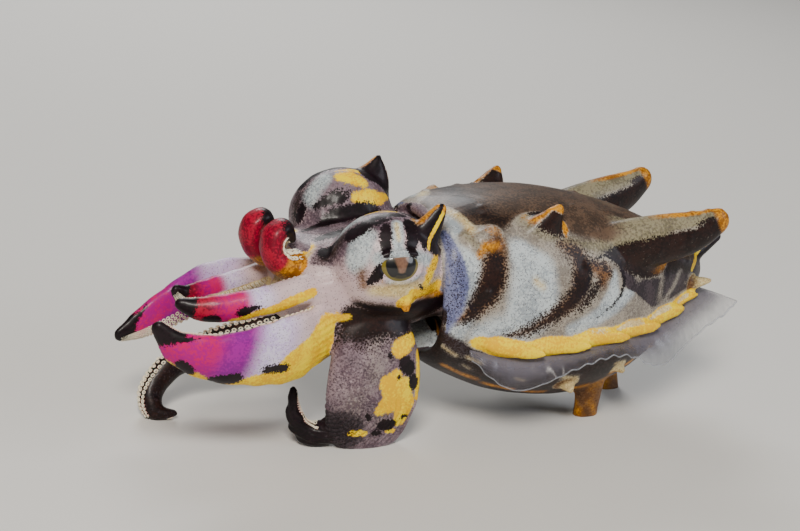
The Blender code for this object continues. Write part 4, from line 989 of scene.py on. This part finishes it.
# relief in the mesh: leg wrinkles, folds at the arm roots, small warts and dimples
relief = {"leg": 0.22, "legStep": 1.15, "folds": 0.09, "warts": 150, "wartHigh": 0.32, "wartWide": 0.7}
normals = vectorsOf(skin.data, "normal")
ankle = np.linalg.norm((body - (-56.5, -15.0, 10.5)) * (1, 0.5, 1), axis=1) + noise(5, 21) * 0.8
creased = np.maximum(onArm[4], onArm[5] * 0.8) * ramp(-body[:, 2], -15, -9) * ramp(body[:, 2], 0.2, 1.4)
lift = relief["leg"] * creased * np.sin(ankle * 2 * math.pi / relief["legStep"])
rootFold = armShare * ramp(-t, -0.3, 0.0) * (pairOf < 4)
lift += relief["folds"] * rootFold * np.sin(at["u"] * 4.2 + noise(4, 22) * 2)
lift += 0.05 * noise(1.6, 23) * (1 - 0.5 * mantlePart)
rng = np.random.default_rng(31)
spotted = np.flatnonzero((mantlePart > 0.5) & (angleOf > 15) & (angleOf < 100) & (np.abs(body[:, 1]) > 3)
                         & (xs > -31) & (ridgeGap > 2.0))
for k in rng.choice(spotted, relief["warts"], replace=False):
    size = relief["wartWide"] * rng.uniform(0.5, 1.2)
    close = np.flatnonzero(np.abs(xs - body[k, 0]) < 3 * size)
    gap = np.linalg.norm(body[close] - body[k], axis=1)
    lift[close] += relief["wartHigh"] * rng.uniform(0.3, 1.0) * np.exp(-(gap / size) ** 2)
lift *= ramp(body[:, 2], 0.02, 0.6)
body = body + normals * lift[:, None]
body[:, 2] = np.maximum(body[:, 2], 0.0)
setPoints(skin.data, (body + bodyShift) * mm)
skin.data.shade_smooth()
print("skin finished")


def addNode(tree, kind, settings=None, sockets=None):
    # one node with its settings; a socket value is a number, a colour or another node's output
    made = tree.nodes.new("ShaderNode" + kind)
    for key, value in (settings or {}).items():
        setattr(made, key, value)
    for key, value in (sockets or {}).items():
        if isinstance(value, bpy.types.NodeSocket):
            tree.links.new(value, made.inputs[key])
        else:
            made.inputs[key].default_value = value
    return made


def newMaterial(name, values):
    # values are those of the surface's own sockets
    mat = bpy.data.materials.new(name)
    mat.use_nodes = True
    tree = mat.node_tree
    surface = tree.nodes["Principled BSDF"]
    for key, value in values.items():
        surface.inputs[key].default_value = value
    return mat, tree, surface


def maths(tree, operation, *values):
    return addNode(tree, "Math", {"operation": operation}, dict(enumerate(values))).outputs[0]


def smoothed(tree, value, low, high, first=0.0, last=1.0):
    # soft step from the first to the last value, while the given one goes from low to high
    limits = {"Value": value, "From Min": low, "From Max": high, "To Min": first, "To Max": last}
    return addNode(tree, "MapRange", {"interpolation_type": "SMOOTHSTEP"}, limits).outputs[0]


def mixed(tree, factor, a, b):
    # blend of two colours, each a hex code or another node's output
    a, b = (linearColour(c) if isinstance(c, str) else c for c in (a, b))
    return addNode(tree, "Mix", {"data_type": "RGBA"}, {0: factor, 6: a, 7: b}).outputs[2]


def fieldOf(tree, name):
    return addNode(tree, "Attribute", {"attribute_name": name}).outputs["Fac"]


def finishSurface(tree, surface, colour, height, strength, depth):
    # colour, and relief of this depth in mm
    bump = addNode(tree, "Bump", None, {"Height": height, "Strength": strength, "Distance": depth * mm})
    tree.links.new(colour, surface.inputs["Base Color"])
    tree.links.new(bump.outputs["Normal"], surface.inputs["Normal"])


def textures(tree, dotSize):
    # shared dots and noises, placed by the object's own coordinates
    place = addNode(tree, "TexCoord").outputs["Object"]
    bend = addNode(tree, "TexNoise", None, {"Vector": place, "Scale": perMetre(1.6), "Detail": 2.0})
    shaken = addNode(tree, "VectorMath", {"operation": "MULTIPLY_ADD"},
                     {0: bend.outputs["Color"], 1: (0.0004, 0.0004, 0.0004), 2: place}).outputs[0]
    dots = addNode(tree, "TexVoronoi", {"feature": "F1"}, {"Vector": shaken, "Scale": perMetre(dotSize)})
    fine = addNode(tree, "TexNoise", None, {"Vector": place, "Scale": perMetre(0.5), "Detail": 3.0})
    broad = addNode(tree, "TexNoise", None, {"Vector": place, "Scale": perMetre(4.0), "Detail": 4.0})
    return {"place": place, "dots": dots.outputs["Distance"], "cell": dots.outputs["Color"],
            "fine": fine.outputs["Fac"], "broad": broad.outputs["Fac"]}


def makeSkin():
    mat, tree, surface = newMaterial("cuttlefish_skin_wet", skinPaint["surface"])
    tex = textures(tree, skinPaint["dotSize"])
    colour = mixed(tree, tex["broad"], *skinPaint["ground"])
    # loose freckles on the pale ground, one in a few of the cells
    pick = addNode(tree, "SeparateColor", None, {"Color": tex["cell"]}).outputs[0]
    freckle = maths(tree, "SUBTRACT", maths(tree, "MULTIPLY_ADD", pick, 0.30, 0.12), tex["dots"])
    freckled = smoothed(tree, freckle, -0.05, 0.12, last=0.55)
    # both tones of a colour lie side by side in small blotches
    blotch = smoothed(tree, maths(tree, "ADD", tex["fine"], tex["broad"]), 0.86, 1.14)
    for index, (field, first, second, soft, dotted, noisy) in enumerate(skinPaint["order"]):
        if index == skinPaint["freckleAt"]:
            colour = mixed(tree, freckled, colour, skinPaint["freckle"])
        amount = fieldOf(tree, field)
        dots = maths(tree, "MULTIPLY_ADD", tex["dots"], -dotted, dotted * 0.42)
        grain = maths(tree, "MULTIPLY_ADD", tex["fine"], noisy, -noisy * 0.5)
        level = maths(tree, "ADD", amount, maths(tree, "ADD", dots, grain))
        mask = smoothed(tree, level, 0.5 - soft, 0.5 + soft)
        # nothing of a colour where its field is empty
        gate = addNode(tree, "MapRange", None, {"Value": amount, "From Min": 0.02, "From Max": 0.12})
        cover = maths(tree, "MULTIPLY", mask, gate.outputs[0])
        colour = mixed(tree, cover, colour, mixed(tree, blotch, first, second))
    low, high = skinPaint["roughness"]
    rough = addNode(tree, "MapRange", None, {"Value": tex["fine"], "To Min": low, "To Max": high}).outputs[0]
    tree.links.new(rough, surface.inputs["Roughness"])
    height = maths(tree, "MULTIPLY_ADD", tex["dots"], -0.5, tex["fine"])
    finishSurface(tree, surface, colour, height, 0.35, skinPaint["grain"])
    return mat


skin.data.materials.clear()
skin.data.materials.append(makeSkin())
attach(skin, "root")
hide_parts("head", "mantle", "funnel", "walking_flap_left", "walking_flap_right",
            *[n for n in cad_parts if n.startswith("arm_")])
print("skin finished with its material")

# fins: thin clear sheets that ripple, rooted in the flank under the ridge
fin = {
    # x, width, how many degrees it hangs under level
    "stations": ((-28.0, 2.0, 40.0), (-23.5, 5.0, 62.0), (-18.5, 6.6, 66.0), (-13.0, 5.6, 48.0),
                 (-8.0, 4.8, 26.0), (0.0, 4.6, 10.0), (6.0, 5.2, 20.0), (11.5, 7.2, 52.0), (16.0, 8.2, 64.0),
                 (20.5, 7.0, 46.0), (26.0, 7.2, 26.0), (31.0, 8.6, 20.0), (34.5, 9.4, 14.0)),
    "below": 2.4, "thick": (1.0, 0.3), "sweep": (0.05, 1.25), "steps": 220, "across": 26,
    "ripple": 0.35, "rippleStep": 3.1,
}


def finPoint(x, side, share, up):
    first, last = fin["stations"][0][0], fin["stations"][-1][0]
    width, droop = (float(columnAt(fin["stations"], column, x)) for column in (1, 2))
    lean = fin["sweep"][0] + (fin["sweep"][1] - fin["sweep"][0]) * ((x - first) / (last - first)) ** 2
    start = mantleSpot(x, flankAngle(x, ridgeBelow(x) + fin["below"], side), -1.0)
    fall = math.radians(droop) * (0.55 + 0.45 * share)
    out = unit(np.array([lean, side * math.cos(fall), -math.sin(fall)]))
    normal = np.array([0, side * math.sin(fall), math.cos(fall)])
    thick = fin["thick"][0] + (fin["thick"][1] - fin["thick"][0]) * share ** 0.6
    wave = fin["ripple"] * share ** 2 * math.sin(2 * math.pi * x / fin["rippleStep"] + side)
    return start + out * ((width + 1.0) * share) + normal * (thick / 2 * up + wave)


def makeFin(side):
    first, last = fin["stations"][0][0], fin["stations"][-1][0]
    shares = np.linspace(0, 1, fin["across"])
    loops = []
    for x in np.linspace(first, last, fin["steps"]):
        upper = [finPoint(x, side, s, 1) for s in shares]
        lower = [finPoint(x, side, s, -1) for s in shares[::-1]]
        loops.append(np.array(upper + lower))
    points, faces = tube(loops)
    out = np.concatenate([shares, shares[::-1]])
    return points, faces, np.concatenate([np.tile(out, len(loops)), [0, 1]])


finLook = {"body": "#6E6A74", "edge": "#A8ACB4", "fleck": "#3E3A44", "alpha": (0.74, 0.12),
           "surface": {"Roughness": 0.32, "IOR": 1.38, "Coat Weight": 0.3, "Coat Roughness": 0.12}}


def makeFinMaterial():
    # a clear muscular web: grey violet near the body, thinning to a see-through edge with a pale hem
    mat, tree, surface = newMaterial("cuttlefish_fin_membrane", finLook["surface"])
    tex = textures(tree, 0.7)
    out = fieldOf(tree, "out")
    hem = smoothed(tree, out, 0.95, 0.99)
    speck = smoothed(tree, tex["dots"], 0.30, 0.12, last=0.35)
    colour = mixed(tree, hem, mixed(tree, speck, finLook["body"], finLook["fleck"]), finLook["edge"])
    stretched = addNode(tree, "Mapping", None, {"Vector": tex["place"], "Scale": (6.0, 1.0, 1.0)}).outputs[0]
    ribs = addNode(tree, "TexNoise", None, {"Vector": stretched, "Scale": perMetre(3.0), "Detail": 3.0})
    ribs = ribs.outputs["Fac"]
    thin = smoothed(tree, out, 0.25, 0.9, *finLook["alpha"])
    cloudy = maths(tree, "ADD", thin, maths(tree, "MULTIPLY_ADD", ribs, 0.3, -0.15))
    alpha = addNode(tree, "Math", {"operation": "MULTIPLY_ADD", "use_clamp": True},
                    {0: hem, 1: 0.35, 2: cloudy})
    tree.links.new(alpha.outputs[0], surface.inputs["Alpha"])
    finishSurface(tree, surface, colour, ribs, 0.4, 0.15)
    return mat


finMaterial = makeFinMaterial()
for side, word in ((-1, "left"), (1, "right")):
    points, faces, out = makeFin(side)
    sheet = meshObject("fin_" + word + "_web", points + bodyShift, faces)
    setField(sheet.data, "out", out)
    sheet.data.materials.append(finMaterial)
    sheet.data.shade_smooth()
    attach(sheet, "root")
    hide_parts("fin_" + word)
print("fins finished")

# suckers: four rows of small cups on the inner face of every arm, smaller towards the tip
cup = {
    "rows": 4, "sides": 12, "share": 0.20, "largest": 0.62, "smallest": 0.16, "vary": 0.12, "seed": 17,
    # ring radius and height over the skin, as shares of the cup's own radius
    "profile": ((0.55, -1.3), (0.62, 0.0), (0.95, 0.25), (1.0, 0.5), (0.86, 0.66), (0.6, 0.5), (0.42, 0.15),
                (0.3, -0.05)),
    "from": {"arm_left_4": 0.3, "arm_right_4": 0.22, "arm_left_4_tip": 0.2}, "to": {"arm_left_4": 0.86},
}


def cupMesh(at, way, up, radius):
    a = turn(cup["sides"])
    spokes = np.outer(np.cos(a), way) + np.outer(np.sin(a), np.cross(way, up))
    return tube([at + (spokes * r + up * h) * radius for r, h in cup["profile"]])


def cupsOn(name, limb, rng):
    made = []
    t, last = cup["from"].get(name, 0.04), cup["to"].get(name, 0.985)
    low, high = limb.get("cups", (-0.8, 0.8))
    length, power = limbs[name]["length"], armShape["power"]
    while t < last:
        size = limbFrame(limb, t)[4] * cup["share"] * (high - low) / 1.6
        size = min(max(size, cup["smallest"]), cup["largest"])
        for row in range(cup["rows"]):
            share = low + (high - low) * (row + 0.5) / cup["rows"]
            slip = (0.5 if row % 2 else 0.0) * 2.1 * size / length   # every other row is set half a step on
            at, way, side, face, half, deep = limbFrame(limb, min(t + slip, 0.99))
            radius = size * rng.uniform(1 - cup["vary"], 1 + cup["vary"])
            rise = deep * (1 - abs(share) ** power) ** (1 / power)
            up = unit(face * limb["oral"] + side * (share * 0.55))
            place = at + side * (share * half) + face * limb["oral"] * (rise - 0.1)
            if place[2] > 1.6 * radius:   # clear of the floor
                made.append(cupMesh(place, way, up, radius))
        t += 2.25 * size / length
    return made


rng = random.Random(cup["seed"])
cups = [made for name, arm in arms.items() for made in cupsOn(name, arm, rng)]
# height over the skin of a cup's points, then of the middles of its base and of its hollow
cupHeights = np.append(np.repeat([h for _, h in cup["profile"]], cup["sides"]), [-1.3, -0.3])
points, faces = joined(cups)
suckers = meshObject("suckers", points + bodyShift, faces)
setField(suckers.data, "rim", np.tile(cupHeights, len(cups)))
suckers.data.shade_smooth()
print("suckers finished", len(cups))

suckerLook = {"rim": "#F0E6CC", "wall": "#DBC2A4", "blush": "#D8A3AC",
              "surface": {"Roughness": 0.38, "IOR": 1.40, "Subsurface Weight": 0.2,
                          "Subsurface Radius": (1.0, 0.5, 0.4), "Subsurface Scale": 0.8 * mm}}


def makeSuckerMaterial():
    # translucent rubbery cups: cream rims on pinkish walls
    mat, tree, surface = newMaterial("sucker_flesh", suckerLook["surface"])
    tex = textures(tree, 0.6)
    wall = mixed(tree, tex["broad"], suckerLook["wall"], suckerLook["blush"])
    colour = mixed(tree, smoothed(tree, fieldOf(tree, "rim"), 0.1, 0.5), wall, suckerLook["rim"])
    finishSurface(tree, surface, colour, tex["fine"], 0.3, 0.04)
    return mat


suckers.data.materials.append(makeSuckerMaterial())
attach(suckers, "root")

# eyes: a tan iris that hangs in a flap over a W-shaped pupil, in a yellow-green ring
eyeLook = {"iris": "#8E6A54", "irisDark": "#4C3226", "shade": "#242010", "ring": "#8A7A1C",
           "ringDark": "#4C4414", "rim": "#8C9C9C", "pupil": "#020205", "rings": 60, "sides": 90,
           "surface": {"Roughness": 0.35, "IOR": 1.38, "Coat Weight": 0.8, "Coat Roughness": 0.03}}


def makeEye(name, side):
    at, way, up, fore = eyePlace(side)
    a, b, c = eye["size"]
    p = turn(eyeLook["sides"])
    lats = math.pi * np.arange(1, eyeLook["rings"]) / eyeLook["rings"]
    # places across and up the face of the eye, as shares of its half sizes
    across, high = np.outer(np.sin(lats), np.cos(p)), np.outer(np.sin(lats), np.sin(p))
    loops = [at + np.outer(a * s, fore) + np.outer(b * h, up) - way * (c * math.cos(lat))
             for s, h, lat in zip(across, high, lats)]
    points, faces = tube(loops, at - way * c, at + way * c)
    s, h = np.append(across.ravel(), [0, 0]), np.append(high.ravel(), [0, 0])
    # the pupil is a W: two dark lobes hang either side of the iris flap, joined by a thin line under it
    tilt = (np.abs(s) - 0.5) * 0.35
    lobes = 1 - np.hypot((np.abs(s) - 0.47 - 0.12 * h) / 0.24, (h - tilt + 0.12) / 0.42)
    link = np.minimum(1 - np.abs(h + 0.46 - 0.22 * np.abs(s)) / 0.05, (0.6 - np.abs(s)) * 6)
    front = (points - at) @ way > 0
    ball = meshObject(name, points + bodyShift, faces)
    for field, values in (
            ("pupil", np.clip(0.5 + np.maximum(lobes * 3.0, link), 0, 1) * front),
            ("ring", ramp(np.hypot(s, h) - 0.25 * (h > 0) * h, 0.62, 0.74)),
            ("flap", ramp(-np.abs(s) + 0.30 * h, -0.29, -0.17) * ramp(h, -0.44, -0.30)),
            ("rim", ramp(np.hypot(s, h), 0.86, 0.96))):
        setField(ball.data, field, values)
    ball.data.shade_smooth()
    return ball


def makeEyeMaterial():
    # moist eye under a clear cornea: matt pigment below, a hard bright gloss on top
    mat, tree, surface = newMaterial("eye_iris_and_cornea", eyeLook["surface"])
    tex = textures(tree, 0.35)
    iris = mixed(tree, fieldOf(tree, "flap"), eyeLook["shade"],
                 mixed(tree, tex["fine"], eyeLook["iris"], eyeLook["irisDark"]))
    outer = mixed(tree, tex["broad"], eyeLook["ring"], eyeLook["ringDark"])
    colour = mixed(tree, fieldOf(tree, "ring"), iris, outer)
    colour = mixed(tree, fieldOf(tree, "rim"), colour, eyeLook["rim"])
    colour = mixed(tree, smoothed(tree, fieldOf(tree, "pupil"), 0.35, 0.65), colour, eyeLook["pupil"])
    finishSurface(tree, surface, colour, tex["fine"], 0.25, 0.04)
    return mat


eyeMaterial = makeEyeMaterial()
for side, word in ((-1, "left"), (1, "right")):
    ball = makeEye("eye_" + word + "_ball", side)
    ball.data.materials.append(eyeMaterial)
    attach(ball, "root")
    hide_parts("eye_" + word)
print("eyes finished")

# plain studio: pale floor, soft lamps, and a camera at the photograph's angle
studio = {"floorSize": 4.0, "floor": "#D9D7D2", "world": "#E9EEF2", "worldStrength": 0.14}
view = {"azimuth": -25.0, "elevation": 18.5, "roll": 5.0, "fieldOfView": 25.0,
        "target": (-36.8, 0.0, 34.3), "pixelsPerMm": 4.8, "imageWidth": 800}


def makeFloor():
    half = studio["floorSize"] / 2 / mm
    corners = np.array([(-half, -half, 0), (half, -half, 0), (half, half, 0), (-half, half, 0)])
    floor = meshObject("floor", corners, [(0, 1, 2, 3)])
    values = {"Base Color": linearColour(studio["floor"]), "Roughness": 0.8}
    floor.data.materials.append(newMaterial("studio_floor_matt_paint", values)[0])
    world = bpy.data.worlds.new("studio")
    world.use_nodes = True
    back = world.node_tree.nodes["Background"]
    back.inputs["Color"].default_value = linearColour(studio["world"])
    back.inputs["Strength"].default_value = studio["worldStrength"]
    bpy.context.scene.world = world


def makeLamp(name, place, size, power, tint):
    data = bpy.data.lights.new(name, "AREA")
    data.shape, data.size, data.energy = "DISK", size, power
    data.color = linearColour(tint)[:3]
    lamp = bpy.data.objects.new(name, data)
    lamp.location = place
    lamp.rotation_euler = (Vector((0, 0, 0.03)) - Vector(place)).to_track_quat("-Z", "Y").to_euler()
    bpy.context.scene.collection.objects.link(lamp)


def makeCamera():
    a, e = math.radians(view["azimuth"]), math.radians(view["elevation"])
    back = Vector((math.sin(a) * math.cos(e), -math.cos(a) * math.cos(e), math.sin(e)))
    level = Vector((math.cos(a), math.sin(a), 0))
    up = back.cross(level)
    roll = math.radians(view["roll"])
    right = level * math.cos(roll) + up * math.sin(roll)
    up = up * math.cos(roll) - level * math.sin(roll)
    focal = view["imageWidth"] / 2 / math.tan(math.radians(view["fieldOfView"] / 2))
    distance = focal / view["pixelsPerMm"] * mm
    place = Vector((np.array(view["target"]) + bodyShift) * mm) + back * distance
    data = bpy.data.cameras.new("camera")
    data.sensor_width, data.sensor_fit = 36.0, "HORIZONTAL"
    data.angle = math.radians(view["fieldOfView"])
    data.clip_start, data.clip_end = 0.01, 20.0
    camera = bpy.data.objects.new("camera", data)
    camera.matrix_world = Matrix.Translation(place) @ Matrix((right, up, back)).transposed().to_4x4()
    bpy.context.scene.collection.objects.link(camera)
    bpy.context.scene.camera = camera


makeFloor()
makeLamp("key", (-0.30, -0.50, 0.60), 0.24, 7.2, "#FFF8EE")
makeLamp("fill", (0.55, -0.45, 0.35), 0.40, 2.2, "#EEF4FF")
makeLamp("rim", (0.10, 0.60, 0.45), 0.35, 3.0, "#FFFFFF")
makeCamera()
